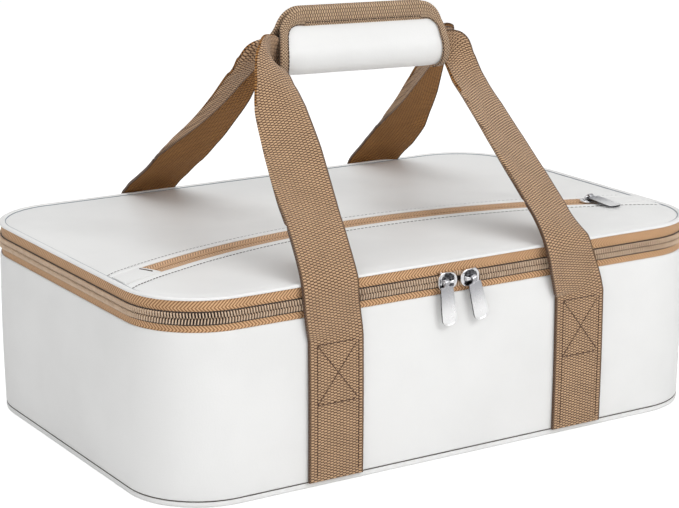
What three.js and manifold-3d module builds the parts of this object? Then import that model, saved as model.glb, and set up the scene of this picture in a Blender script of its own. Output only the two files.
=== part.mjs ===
// Insulated casserole carrier: a zipped, foam-lined bag with a hinged lid, a lid pocket, two webbing
// loops and a padded wrap that holds the loops together as one grip.
// Millimetres. X runs left to right, -Y is the front, +Z is up, and the bag stands on Z = 0.
import * as THREE from 'three';
import { mergeVertices } from 'three/addons/utils/BufferGeometryUtils.js';
import Module from 'manifold-3d';

const wasm = await Module();
wasm.setup();

// Driving dimensions of the bag
const bodyLength = 420;
const bodyWidth = 278;
const cornerRadius = 50;
const wallTop = 109.5;
const baseEdgeHeight = 3.8;
const rimHeight = 2.2;
const hingeLength = 300;
const seat = 0.3;

// Cloth and padding
const coverThickness = 1.2;
const wallFoamThickness = 5.5;
const linerThickness = 0.6;
const baseSkin = 1.4;
const baseFoamThickness = 5;
const lidFoamThickness = 5.4;
const rimRound = 1.4;
const rimWidth = 6;

// Main zip
const tapeThickness = 0.8;
const tapeAllowance = 8;
const lowerTapeShow = 5.3;
const upperTapeShow = 7.3;
const chainHalf = 3.4;
const tapeGap = 2.4;
const toothThickness = 2.1;
const toothPitch = 3.6;
const toothReach = 1;
const toothPlay = 0.35;

// Lid pocket and its zip, which follows an arc
const pocketDepth = 5.3;
const pocketArcRadius = 440;
const pocketArcFront = 22;
const pocketMouthWidth = 18;
const pocketMouthInset = 28;
const pocketTapeEnd = 12;
const pocketTapeWidth = 14;

// Zip sliders and pulls
const sliderLength = 14;
const sliderPlate = 1.2;
const sliderLip = 0.8;
const sliderSpacing = 16.8;
const zipMeeting = -3.3;
const postLength = 2.2;
const postThickness = 1.2;
const barRadius = 0.8;
const barHalf = 4.4;
const legLength = 1.1;
const legWidth = 2.4;
const eyeWall = 1;
const eyeWidth = 3.6;
const pullLength = 30.5;
const pullWidth = 11;
const pullShoulder = 8;
const pullThickness = 1.2;
const windowWidth = 4.8;
const windowHeight = 4;
const pullLean = THREE.MathUtils.degToRad(7);

// Webbing loops
const webbingWidth = 38;
const webbingThickness = 2;
const strapFromMiddle = 93.6;
const stitchTop = 95;
const strapOverLid = 7.2;

// Padded wrap round the grip
const gripLength = 126;
const gripHeight = 44;
const gripBottom = 232;
const gripForward = 20;
const gripRadius = 13.5;
const neckBottom = 32;
const wrapThickness = 3;
const wrapEdge = 1.2;
const wrapCorner = 12;
const bindingWidth = 10;
const bindingThickness = 0.8;
const patchThickness = 1.2;
const patchInset = 14;
const coreLift = 5.5;

// How finely curves are divided
const cornerSteps = 7;
const arcSteps = 22;
const discSides = 180;
const strapSteps = 14;
const rollSteps = 6;
const roundSides = 12;
const overrun = 0.4;
const sameSpot = 1e-4;

// Levels, from the floor up
const chainMiddle = wallTop + lowerTapeShow + chainHalf;
const rimBottom = chainMiddle + chainHalf + upperTapeShow;
const lidTop = rimBottom + rimHeight;
const panelBottom = lidTop - coverThickness;
const pocketTapeTop = panelBottom - seat;
const pocketTapeBottom = pocketTapeTop - tapeThickness;
const liningTop = panelBottom - pocketDepth;
const liningBottom = liningTop - linerThickness;
const lidFoamTop = liningBottom - seat;
const lidFoamBottom = lidFoamTop - lidFoamThickness;
const boardBottom = baseSkin + seat;
const wallBottom = baseEdgeHeight + seat;
const baseFoamTop = wallBottom + baseFoamThickness;
const floorBottom = baseFoamTop + seat;
const wallFoamTop = wallTop - linerThickness - seat;

// Layers, as distances in from the bag's outline
const tapeOuter = coverThickness + seat;
const tapeInner = tapeOuter + tapeThickness;
const toothInner = tapeOuter - seat;
const toothOuter = toothInner - toothThickness;
const foamFace = tapeInner + seat;
const foamBack = foamFace + wallFoamThickness;
const linerFace = foamBack + seat;
const linerBack = linerFace + linerThickness;
const lidLinerFace = foamFace + sliderPlate + 2 * seat + linerThickness;
const lidLinerBack = lidLinerFace + linerThickness;
const lidFoamFace = lidLinerBack + seat;

const colours = {
  leather: { color: 0xeeeeec, roughness: 0.45, metalness: 0 },
  lining: { color: 0xc9ccce, roughness: 0.35, metalness: 0.2 },
  foam: { color: 0xf4f2ec, roughness: 0.95, metalness: 0 },
  board: { color: 0x8d8a84, roughness: 0.8, metalness: 0 },
  tape: { color: 0xbd9670, roughness: 0.85, metalness: 0 },
  teeth: { color: 0x8c7156, roughness: 0.4, metalness: 0 },
  webbing: { color: 0x9d8567, roughness: 0.85, metalness: 0 },
  chrome: { color: 0xd8d9db, roughness: 0.12, metalness: 1 },
  patch: { color: 0xe6e4df, roughness: 1, metalness: 0 },
};

const carrier = new THREE.Group();

function addPart(name, geometry, finish, place = new THREE.Matrix4()) {
  const mesh = new THREE.Mesh(geometry, new THREE.MeshStandardMaterial(colours[finish]));
  mesh.name = name;
  mesh.applyMatrix4(place);
  carrier.add(mesh);
}

// Closed bodies from points and triangles, turned so that their faces point outwards
function closedBody(points, faces) {
  let volume = 0;
  for (const [a, b, c] of faces) {
    volume += points[a].dot(new THREE.Vector3().crossVectors(points[b], points[c]));
  }
  const index = volume < 0 ? faces.flatMap(([a, b, c]) => [a, c, b]) : faces.flat();
  const geometry = new THREE.BufferGeometry();
  const numbers = points.flatMap((point) => point.toArray());
  geometry.setAttribute('position', new THREE.Float32BufferAttribute(numbers, 3));
  geometry.setIndex(index);
  geometry.computeVertexNormals();
  return geometry;
}

function convexCap(count) {
  return Array.from({ length: count - 2 }, (_, i) => [0, i + 1, i + 2]);
}

function profileCap(profile) {
  const contour = profile.map(([u, v]) => new THREE.Vector2(u, v));
  const turn = Math.sign(THREE.ShapeUtils.area(contour));
  return THREE.ShapeUtils.triangulateShape(contour, []).map(([a, b, c]) => {
    const area = THREE.ShapeUtils.area([contour[a], contour[b], contour[c]]);
    return area * turn > 0 ? [a, b, c] : [c, b, a];
  });
}

// Joins rings that have the same number of points, and caps the ends unless the rings close on themselves
function skin(rings, cap = null) {
  const count = rings[0].length;
  const spans = cap ? rings.length - 1 : rings.length;
  const faces = [];
  for (let i = 0; i < spans; i += 1) {
    const a = i * count;
    const b = ((i + 1) % rings.length) * count;
    for (let j = 0; j < count; j += 1) {
      const k = (j + 1) % count;
      faces.push([a + j, a + k, b + k], [a + j, b + k, b + j]);
    }
  }
  if (cap) {
    const last = (rings.length - 1) * count;
    for (const [a, b, c] of cap) {
      faces.push([c, b, a], [last + a, last + b, last + c]);
    }
  }
  return closedBody(rings.flat(), faces);
}

// Cuts and joins of closed bodies
function toSolid(geometry) {
  const bare = geometry.clone();
  bare.deleteAttribute('normal');
  bare.deleteAttribute('uv');
  const merged = mergeVertices(bare);
  const vertProperties = new Float32Array(merged.attributes.position.array);
  const triVerts = new Uint32Array(merged.index.array);
  return new wasm.Manifold(new wasm.Mesh({ numProp: 3, vertProperties, triVerts }));
}

function fromSolid(solid) {
  const { vertProperties, triVerts } = solid.getMesh();
  const geometry = new THREE.BufferGeometry();
  geometry.setAttribute('position', new THREE.BufferAttribute(new Float32Array(vertProperties), 3));
  geometry.setIndex(Array.from(triVerts));
  geometry.computeVertexNormals();
  return geometry;
}

const join = (...bodies) => fromSolid(bodies.map(toSolid).reduce((whole, body) => whole.add(body)));
const cut = (body, tool) => fromSolid(toSolid(body).subtract(toSolid(tool)));
const common = (body, other) => fromSolid(toSolid(body).intersect(toSolid(other)));

// The bag's outline, walked from the middle of the back, to the left, the front, the right and back
const straightX = bodyLength - 2 * cornerRadius;
const straightY = bodyWidth - 2 * cornerRadius;
const quarter = (Math.PI / 2) * cornerRadius;
const outlineRuns = [
  { length: straightX / 2 },
  { length: quarter, turns: true },
  { length: straightY },
  { length: quarter, turns: true },
  { length: straightX },
  { length: quarter, turns: true },
  { length: straightY },
  { length: quarter, turns: true },
  { length: straightX / 2 },
];
const outlineLength = outlineRuns.reduce((sum, run) => sum + run.length, 0);
const frontMiddle = outlineLength / 2;

function outlineAt(distance) {
  let heading = Math.PI;
  let left = distance;
  const place = new THREE.Vector2(0, bodyWidth / 2);
  for (const run of outlineRuns) {
    const step = Math.min(left, run.length);
    if (run.turns) {
      const turn = step / cornerRadius;
      place.x += cornerRadius * (Math.sin(heading + turn) - Math.sin(heading));
      place.y -= cornerRadius * (Math.cos(heading + turn) - Math.cos(heading));
      heading += turn;
    } else {
      place.x += step * Math.cos(heading);
      place.y += step * Math.sin(heading);
    }
    left -= step;
    if (left <= sameSpot) break;
  }
  return { place, normal: new THREE.Vector2(Math.sin(heading), -Math.cos(heading)) };
}

function outlinePoint(distance, inset, height) {
  const { place, normal } = outlineAt(distance);
  return new THREE.Vector3(place.x - inset * normal.x, place.y - inset * normal.y, height);
}

function outlineStations(from, to, extra = []) {
  const marks = [from, to, ...extra];
  let start = 0;
  for (const run of outlineRuns) {
    const pieces = run.turns ? cornerSteps : 1;
    for (let i = 0; i <= pieces; i += 1) marks.push(start + (run.length * i) / pieces);
    start += run.length;
  }
  const inside = marks.filter((mark) => mark >= from && mark <= to).sort((a, b) => a - b);
  return inside.filter((mark, i) => i === 0 || mark - inside[i - 1] > sameSpot);
}

const loopStations = outlineStations(0, outlineLength).slice(1, -1);
const outlineLoop = (inset, height) => loopStations.map((s) => outlinePoint(s, inset, height));

// A profile of [inset, height] swept right round the bag, or along a part of its outline
function hoop(profile) {
  return skin(loopStations.map((s) => profile.map(([inset, height]) => outlinePoint(s, inset, height))));
}

function strip(profile, from, to) {
  const rings = outlineStations(from, to).map((s) => (
    profile.map(([inset, height]) => outlinePoint(s, inset, height))));
  return skin(rings, profileCap(profile));
}

// A plate or a tray whose profile of [inset, height] starts and ends over the bag's middle
function tray(profile) {
  return skin(profile.map(([inset, height]) => outlineLoop(inset, height)), convexCap(loopStations.length));
}

const plate = (inset, bottom, top) => tray([[inset, bottom], [inset, top]]);

function block(lengthX, lengthY, lengthZ, x, y, z) {
  return new THREE.BoxGeometry(lengthX, lengthY, lengthZ).translate(x, y, z);
}

// Base: a leather tray that shows as the white edge at the floor, with a stiff board in it
const boardInset = baseSkin + seat;
addPart('base_tray', tray([
  [0, 0],
  [0, baseEdgeHeight],
  [baseSkin, baseEdgeHeight],
  [baseSkin, baseSkin],
]), 'leather');
addPart('base_board', plate(boardInset, boardBottom, baseEdgeHeight), 'board');
addPart('base_foam', plate(linerFace, wallBottom, baseFoamTop), 'foam');

// Wall: cover, foam that steps back behind the zip tape, and the liner, a tub with a sewn top edge
addPart('wall_cover', hoop([
  [0, wallBottom],
  [0, wallTop],
  [coverThickness, wallTop],
  [coverThickness, wallBottom],
]), 'leather');
const tapeFoot = wallTop - tapeAllowance;
addPart('wall_foam', hoop([
  [tapeOuter, wallBottom],
  [tapeOuter, tapeFoot - seat],
  [foamFace, tapeFoot],
  [foamFace, wallFoamTop],
  [foamBack, wallFoamTop],
  [foamBack, wallBottom],
]), 'foam');
addPart('tub_liner', tray([
  [linerFace, floorBottom],
  [linerFace, wallFoamTop + seat],
  [foamFace, wallFoamTop + seat],
  [foamFace, wallTop],
  [linerBack, wallTop],
  [linerBack, floorBottom + linerThickness],
]), 'lining');

// Main zip: it runs round all but the hinge, with its two rows parted between the two sliders
const zipStart = hingeLength / 2 + seat;
const zipEnd = outlineLength - zipStart;
addPart('lower_zip_tape', strip([
  [tapeOuter, tapeFoot],
  [tapeOuter, chainMiddle - tapeGap / 2],
  [tapeInner, chainMiddle - tapeGap / 2],
  [tapeInner, tapeFoot],
], zipStart, zipEnd), 'tape');
addPart('upper_zip_tape', strip([
  [tapeOuter, chainMiddle + tapeGap / 2],
  [tapeOuter, rimBottom + rimHeight - rimRound - seat],
  [tapeInner, rimBottom + rimHeight - rimRound - seat],
  [tapeInner, chainMiddle + tapeGap / 2],
], zipStart, zipEnd), 'tape');

// How far a slider's post pushes each row off the middle, and where the post and the widest point lie
const rowShift = toothReach - toothPlay + postThickness / 2 + seat;
const throatHalf = chainHalf + rowShift + seat;
const shoulderHalf = throatHalf + sliderLip;
const tailHalf = chainHalf + seat + sliderLip;
const shoulderX = sliderLength / 5;
const postX = sliderLength / 4;
const rampLength = sliderLength / 2;

// One row of teeth: a cord with a zigzag edge that meshes with the other row's at an even play.
// place(along, across, level) gives a point, and parting(along) says how far the row stands off.
function toothRow({ from, teeth, pitch, side, marks, levels, parting, place }) {
  const to = from + teeth * pitch;
  const spine = [...new Set([from, ...marks.filter((mark) => mark > from && mark < to), to])];
  const roots = Array.from({ length: teeth + 1 }, (_, i) => from + i * pitch);
  const tips = Array.from({ length: teeth }, (_, i) => from + (i + 1 / 2) * pitch);
  const lines = [
    spine.map((s) => [s, chainHalf]),
    roots.map((s) => [s, toothReach + toothPlay]),
    tips.map((s) => [s, toothPlay - toothReach]),
  ];
  const layer = lines.flat();
  const points = levels.flatMap((level) => layer.map(([s, across]) => (
    place(s, side * (across + parting(s)), level))));
  const root = (i) => spine.length + i;
  const tip = (i) => spine.length + roots.length + i;
  const face = [];
  const rim = [[spine.length - 1, root(teeth)], [root(0), 0]];
  let b = 0;
  let r = 0;
  while (b < spine.length - 1 || r < teeth) {
    const spineNext = b < spine.length - 1 && (r >= teeth || spine[b + 1] <= roots[r + 1]);
    if (spineNext) {
      face.push([b, b + 1, root(r)]);
      rim.push([b, b + 1]);
      b += 1;
    } else {
      face.push([b, root(r + 1), root(r)], [root(r), root(r + 1), tip(r)]);
      rim.push([root(r + 1), tip(r)], [tip(r), root(r)]);
      r += 1;
    }
  }
  const under = layer.length;
  const faces = [
    ...face,
    ...face.map(([p, q, s]) => [under + s, under + q, under + p]),
    ...rim.flatMap(([p, q]) => [[q, p, under + p], [q, under + p, under + q]]),
  ];
  return closedBody(points, faces);
}

const meetingAt = frontMiddle + zipMeeting;
const postFromMiddle = sliderSpacing / 2 - postX;
const mainTeeth = Math.round((zipEnd - zipStart) / toothPitch);
const mainPitch = (zipEnd - zipStart) / mainTeeth;
const mainParting = (s) => {
  const past = Math.abs(s - meetingAt) - postFromMiddle;
  return rowShift * THREE.MathUtils.clamp(1 - past / rampLength, 0, 1);
};
const mainMarks = outlineStations(zipStart, zipEnd, [
  meetingAt - postFromMiddle - rampLength,
  meetingAt - postFromMiddle,
  meetingAt + postFromMiddle,
  meetingAt + postFromMiddle + rampLength,
]);
const mainRow = (side, lead, teeth) => toothRow({
  from: zipStart + lead,
  teeth,
  pitch: mainPitch,
  side,
  marks: mainMarks,
  levels: [toothOuter, toothInner],
  parting: mainParting,
  place: (s, across, inset) => outlinePoint(s, inset, chainMiddle + across),
});
addPart('upper_zip_teeth', mainRow(1, 0, mainTeeth), 'teeth');
addPart('lower_zip_teeth', mainRow(-1, mainPitch / 2, mainTeeth - 1), 'teeth');

// The lid hangs on one strip of leather along the back
const hingeBottom = wallTop + seat;
const hingeTop = rimBottom - seat;
addPart('back_hinge_strip', block(
  hingeLength,
  coverThickness,
  hingeTop - hingeBottom,
  0,
  (bodyWidth - coverThickness) / 2,
  (hingeBottom + hingeTop) / 2,
), 'leather');

// Lid: a rolled rim, two top panels either side of the pocket zip, lining, foam and liner
const rimCorner = Array.from({ length: 4 }, (_, i) => {
  const turn = (i * Math.PI) / 6;
  return [rimRound * (1 - Math.cos(turn)), lidTop - rimRound * (1 - Math.sin(turn))];
});
addPart('lid_rim', hoop([
  [0, rimBottom],
  ...rimCorner,
  [rimWidth, lidTop],
  [rimWidth, panelBottom],
  [rimRound, panelBottom],
  [coverThickness, lidTop - rimRound],
  [coverThickness, rimBottom],
]), 'leather');
const liningHem = Math.max(liningTop, chainMiddle + shoulderHalf + seat);
addPart('pocket_lining', tray([
  [lidLinerFace, liningBottom],
  [lidLinerFace, liningHem],
  [foamFace, liningHem],
  [foamFace, liningHem + linerThickness],
  [lidLinerBack, liningHem + linerThickness],
  [lidLinerBack, liningTop],
]), 'lining');
addPart('lid_foam', plate(lidFoamFace, lidFoamBottom, lidFoamTop), 'foam');
const lidLinerBottom = lidFoamBottom - seat - linerThickness;
addPart('lid_liner', tray([
  [lidLinerFace, lidLinerBottom],
  [lidLinerFace, lidFoamTop],
  [lidLinerBack, lidFoamTop],
  [lidLinerBack, lidLinerBottom + linerThickness],
]), 'lining');

const arcCentreY = -pocketArcFront - pocketArcRadius;
const pocketMouthHalf = bodyLength / 2 - pocketMouthInset;
const pocketZipHalf = pocketMouthHalf + pocketTapeEnd;

function arcPoint(along, across, height) {
  const angle = along / pocketArcRadius;
  const radius = pocketArcRadius + across;
  return new THREE.Vector3(radius * Math.sin(angle), arcCentreY + radius * Math.cos(angle), height);
}

function arcBand(profile, from, to, steps) {
  const rings = Array.from({ length: steps + 1 }, (_, i) => {
    const along = from + ((to - from) * i) / steps;
    return profile.map(([across, height]) => arcPoint(along, across, height));
  });
  return skin(rings, profileCap(profile));
}

function arcDisc(radius) {
  return new THREE.CylinderGeometry(radius, radius, 2 * lidTop, discSides)
    .rotateX(Math.PI / 2)
    .translate(0, arcCentreY, lidTop);
}

const mouthHalf = pocketMouthWidth / 2;
const panelInset = rimWidth + seat;
const topPanel = plate(panelInset, panelBottom, lidTop);
addPart('lid_rear_panel', cut(topPanel, arcDisc(pocketArcRadius + mouthHalf)), 'leather');
addPart('lid_pocket_panel', common(topPanel, arcDisc(pocketArcRadius - mouthHalf)), 'leather');

const tabHalf = mouthHalf - seat;
const tabProfile = [
  [-tabHalf, panelBottom - overrun],
  [-tabHalf, lidTop + overrun],
  [tabHalf, lidTop + overrun],
  [tabHalf, panelBottom - overrun],
];
for (const [name, side] of [['pocket_left_tab', -1], ['pocket_right_tab', 1]]) {
  const reach = arcBand(tabProfile, side * pocketMouthHalf, side * bodyLength / 2 * Math.SQRT2, arcSteps);
  addPart(name, common(topPanel, reach), 'leather');
}

// Pocket zip: the coil lies under the tapes, and the slider stands closed at the right
for (const [name, side] of [['pocket_rear_tape', 1], ['pocket_front_tape', -1]]) {
  addPart(name, arcBand([
    [side * tapeGap / 2, pocketTapeBottom],
    [side * tapeGap / 2, pocketTapeTop],
    [side * (tapeGap / 2 + pocketTapeWidth), pocketTapeTop],
    [side * (tapeGap / 2 + pocketTapeWidth), pocketTapeBottom],
  ], -pocketZipHalf, pocketZipHalf, arcSteps), 'tape');
}
const pocketSliderAt = pocketMouthHalf - sliderLength / 2 - rimRound;
const pocketPostAt = pocketSliderAt + postX;
const pocketParting = (s) => (
  rowShift * THREE.MathUtils.clamp(1 + (s - pocketPostAt) / rampLength, 0, 1));
const pocketTeeth = Math.round((2 * pocketZipHalf) / toothPitch);
const pocketPitch = (2 * pocketZipHalf) / pocketTeeth;
const arcMarks = Array.from({ length: arcSteps + 1 }, (_, i) => pocketZipHalf * ((2 * i) / arcSteps - 1));
const pocketMarks = [...arcMarks, pocketPostAt - rampLength, pocketPostAt].sort((a, b) => a - b);
const pocketRow = (side, lead, teeth) => toothRow({
  from: lead - pocketZipHalf,
  teeth,
  pitch: pocketPitch,
  side,
  marks: pocketMarks,
  levels: [pocketTapeBottom - seat, pocketTapeBottom - seat - toothThickness],
  parting: pocketParting,
  place: arcPoint,
});
addPart('pocket_rear_teeth', pocketRow(1, 0, pocketTeeth), 'teeth');
addPart('pocket_front_teeth', pocketRow(-1, pocketPitch / 2, pocketTeeth - 1), 'teeth');

// Slider, in its own frame: X along the zip to the nose, Y across, Z out from the tape's back face
const chamferShare = 0.8;
const noseShare = 0.5;

function sliderOutline() {
  const half = sliderLength / 2;
  const corner = sliderLip + seat;
  const upper = [
    [-half, tailHalf * chamferShare],
    [corner - half, tailHalf],
    [shoulderX, shoulderHalf],
    [half - corner, shoulderHalf * chamferShare],
    [half, shoulderHalf * noseShare],
  ];
  const lower = upper.map(([x, y]) => [x, -y]).reverse();
  return new THREE.Shape([...upper, ...lower].map(([x, y]) => new THREE.Vector2(x, y)));
}

function sliderLipShape(side) {
  const from = sliderLip + seat - sliderLength / 2;
  return new THREE.Shape([
    new THREE.Vector2(from, side * tailHalf),
    new THREE.Vector2(shoulderX, side * shoulderHalf),
    new THREE.Vector2(shoulderX, side * throatHalf),
    new THREE.Vector2(from, side * (tailHalf - sliderLip)),
  ]);
}

function slab(shape, bottom, top) {
  return new THREE.ExtrudeGeometry(shape, { depth: top - bottom, bevelEnabled: false })
    .translate(0, 0, bottom);
}

// Heights of a slider's two plates for a coil on the outer or the inner face of the tape
function sliderLevels(coilOutside) {
  const outerFace = tapeThickness + seat + (coilOutside ? toothThickness + seat : 0);
  const innerFace = -seat - (coilOutside ? 0 : toothThickness + seat);
  return {
    outerFace,
    innerFace,
    lipFrom: coilOutside ? tapeThickness + seat : innerFace - overrun,
    lipTo: coilOutside ? outerFace + overrun : -seat,
    top: outerFace + sliderPlate,
    bar: outerFace + sliderPlate + seat + barRadius + seat + eyeWall,
  };
}

function sliderBody(coilOutside) {
  const level = sliderLevels(coilOutside);
  const legHeight = level.bar - level.top;
  const legAt = barHalf - legLength / 2;
  const bar = new THREE.CylinderGeometry(barRadius, barRadius, 2 * barHalf, roundSides)
    .rotateZ(Math.PI / 2)
    .translate(0, 0, level.bar);
  const legs = [-legAt, legAt].map((x) => (
    block(legLength, legWidth, legHeight + overrun, x, 0, level.top + (legHeight - overrun) / 2)));
  const postHeight = level.top - level.innerFace;
  return join(
    slab(sliderOutline(), level.outerFace, level.top),
    slab(sliderOutline(), level.innerFace - sliderPlate, level.innerFace),
    slab(sliderLipShape(1), level.lipFrom, level.lipTo),
    slab(sliderLipShape(-1), level.lipFrom, level.lipTo),
    block(postLength, postThickness, postHeight, postX, 0, level.top - (postHeight + overrun) / 2),
    bar,
    ...legs,
  );
}

// Pull, in the slider's frame: an eye round the bar and a flat tab with a window, hanging along -Y
function pullBody() {
  const eyeOuter = barRadius + seat + eyeWall;
  const eye = new THREE.CylinderGeometry(eyeOuter, eyeOuter, eyeWidth, roundSides).rotateZ(Math.PI / 2);
  const eyeHole = new THREE.CylinderGeometry(barRadius + seat, barRadius + seat, pullWidth, roundSides)
    .rotateZ(Math.PI / 2);
  const neckTop = -(barRadius + seat + eyeWall / 2);
  const shoulder = -(eyeOuter + seat);
  const wide = pullWidth / 2;
  const narrow = pullShoulder / 2;
  const flare = shoulder - windowHeight - eyeWall;
  const roundTop = wide - pullLength;
  const tab = new THREE.Shape();
  tab.moveTo(eyeWidth / 2, neckTop);
  tab.lineTo(eyeWidth / 2, shoulder);
  tab.quadraticCurveTo(narrow, shoulder, narrow, shoulder - eyeWall);
  tab.lineTo(wide, flare - windowHeight);
  tab.lineTo(wide, roundTop);
  tab.quadraticCurveTo(wide, -pullLength, 0, -pullLength);
  tab.quadraticCurveTo(-wide, -pullLength, -wide, roundTop);
  tab.lineTo(-wide, flare - windowHeight);
  tab.lineTo(-narrow, shoulder - eyeWall);
  tab.quadraticCurveTo(-narrow, shoulder, -eyeWidth / 2, shoulder);
  tab.lineTo(-eyeWidth / 2, neckTop);
  const flat = new THREE.ExtrudeGeometry(tab, {
    depth: pullThickness,
    bevelEnabled: false,
    curveSegments: 4,
  }).translate(0, 0, -pullThickness / 2);
  const windowMiddle = shoulder - eyeWall - windowHeight / 2;
  const window = block(windowWidth, windowHeight, 2 * pullThickness, 0, windowMiddle, 0);
  return cut(cut(join(eye, flat), eyeHole), window);
}

function frame(xAxis, yAxis, zAxis, origin) {
  return new THREE.Matrix4().makeBasis(xAxis, yAxis, zAxis).setPosition(origin);
}

const right = new THREE.Vector3(1, 0, 0);
const up = new THREE.Vector3(0, 0, 1);
const toFront = new THREE.Vector3(0, -1, 0);
const tapeBackY = tapeInner - bodyWidth / 2;
const mainBar = sliderLevels(true).bar;
for (const [name, side] of [['left', -1], ['right', 1]]) {
  const spot = new THREE.Vector3(zipMeeting + (side * sliderSpacing) / 2, tapeBackY, chainMiddle);
  const nose = right.clone().multiplyScalar(-side);
  const across = up.clone().multiplyScalar(-side);
  addPart(`${name}_slider`, sliderBody(true), 'chrome', frame(nose, across, toFront, spot));
  const hang = frame(right, up, toFront, spot.clone().addScaledVector(toFront, mainBar));
  hang.multiply(new THREE.Matrix4().makeRotationZ(pullLean));
  addPart(`${name}_pull`, pullBody(), 'chrome', hang);
}

// The pocket slider's frame follows the arc, and its pull lies down on the pocket panel
const pocketAngle = pocketSliderAt / pocketArcRadius;
const arcAlong = new THREE.Vector3(Math.cos(pocketAngle), -Math.sin(pocketAngle), 0);
const arcOut = new THREE.Vector3(Math.sin(pocketAngle), Math.cos(pocketAngle), 0);
const pocketSpot = arcPoint(pocketSliderAt, 0, pocketTapeBottom);
const pocketBar = sliderLevels(false).bar;
addPart('pocket_slider', sliderBody(false), 'chrome', frame(arcAlong, arcOut, up, pocketSpot));
const barOverPanel = pocketTapeBottom + pocketBar - lidTop;
const droop = Math.asin((barOverPanel - pullThickness / 2 - seat) / pullLength);
const lie = frame(arcAlong, arcOut, up, pocketSpot.clone().addScaledVector(up, pocketBar));
lie.multiply(new THREE.Matrix4().makeRotationX(droop));
lie.multiply(new THREE.Matrix4().makeRotationZ(pullLean));
addPart('pocket_pull', pullBody(), 'chrome', lie);

// A ribbon through stations of centre, across and normal directions, and columns of [offset, half thickness]
function ribbon(stations) {
  const rings = stations.map(({ centre, across, normal, columns }) => {
    const at = ([offset, half, lift = 0], side) => centre.clone()
      .addScaledVector(across, offset)
      .addScaledVector(normal, lift + side * half);
    return [...columns.map((column) => at(column, 1)), ...[...columns].reverse().map((c) => at(c, -1))];
  });
  const columnCount = stations[0].columns.length;
  const last = 2 * columnCount - 1;
  const cap = Array.from({ length: columnCount - 1 }, (_, i) => (
    [[i, i + 1, last - i - 1], [i, last - i - 1, last - i]])).flat();
  return skin(rings, cap);
}

// Webbing loops. Each loop is one strap: two feet sewn to the wall, two free spans and a folded core.
const strapMiddle = bodyWidth / 2 + seat + webbingThickness / 2;
const strapOverZip = strapMiddle + Math.max(0, -toothOuter) + seat;
const coreThickness = 2 * webbingThickness;
const coreHeight = webbingWidth / 2;
const coreOffset = seat / 2 + coreThickness / 2;
const coreLevel = gripBottom + coreLift + coreHeight / 2;
const crossing = lidTop + strapOverLid;

// Each row: shares of the way in X, Y and Z from the lid's edge to the grip, then of the width
const frontLeftShares = [
  [0.11, 0.172, 0.173, 1],
  [0.174, 0.3, 0.286, 0.98],
  [0.315, 0.511, 0.505, 0.92],
  [0.41, 0.68, 0.698, 0.84],
  [0.505, 0.816, 0.85, 0.74],
  [0.647, 0.926, 0.97, 0.62],
  [0.852, 0.977, 1.01, 0.52],
];
const frontRightShares = [
  [0.16, 0.172, 0.173, 1],
  [0.2, 0.3, 0.286, 0.98],
  [0.26, 0.511, 0.505, 0.94],
  [0.385, 0.68, 0.698, 0.86],
  [0.486, 0.816, 0.85, 0.76],
  [0.63, 0.926, 0.97, 0.62],
  [0.83, 0.977, 1.01, 0.52],
];
const backLeftShares = [
  [0.18, 0.258, 0.239, 1],
  [0.37, 0.514, 0.523, 0.92],
  [0.46, 0.698, 0.735, 0.8],
  [0.5, 0.856, 0.915, 0.68],
  [0.58, 0.94, 0.99, 0.58],
  [0.78, 0.985, 1.01, 0.52],
];
const backRightShares = [
  [0.08, 0.258, 0.239, 1],
  [0.2, 0.514, 0.523, 0.94],
  [0.37, 0.698, 0.735, 0.82],
  [0.575, 0.856, 0.915, 0.68],
  [0.74, 0.94, 0.99, 0.58],
  [0.88, 0.985, 1.01, 0.52],
];
// How far each span has slewed sideways where it passes the lid's edge, as a share of the width
const straps = [
  { name: 'front_left', face: -1, side: -1, slewShare: -0.04, shares: frontLeftShares },
  { name: 'front_right', face: -1, side: 1, slewShare: -0.15, shares: frontRightShares },
  { name: 'back_left', face: 1, side: -1, slewShare: 0.22, shares: backLeftShares },
  { name: 'back_right', face: 1, side: 1, slewShare: 0.45, shares: backRightShares },
];
const columnShares = [-1, -0.4, 0.4, 1];

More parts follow.
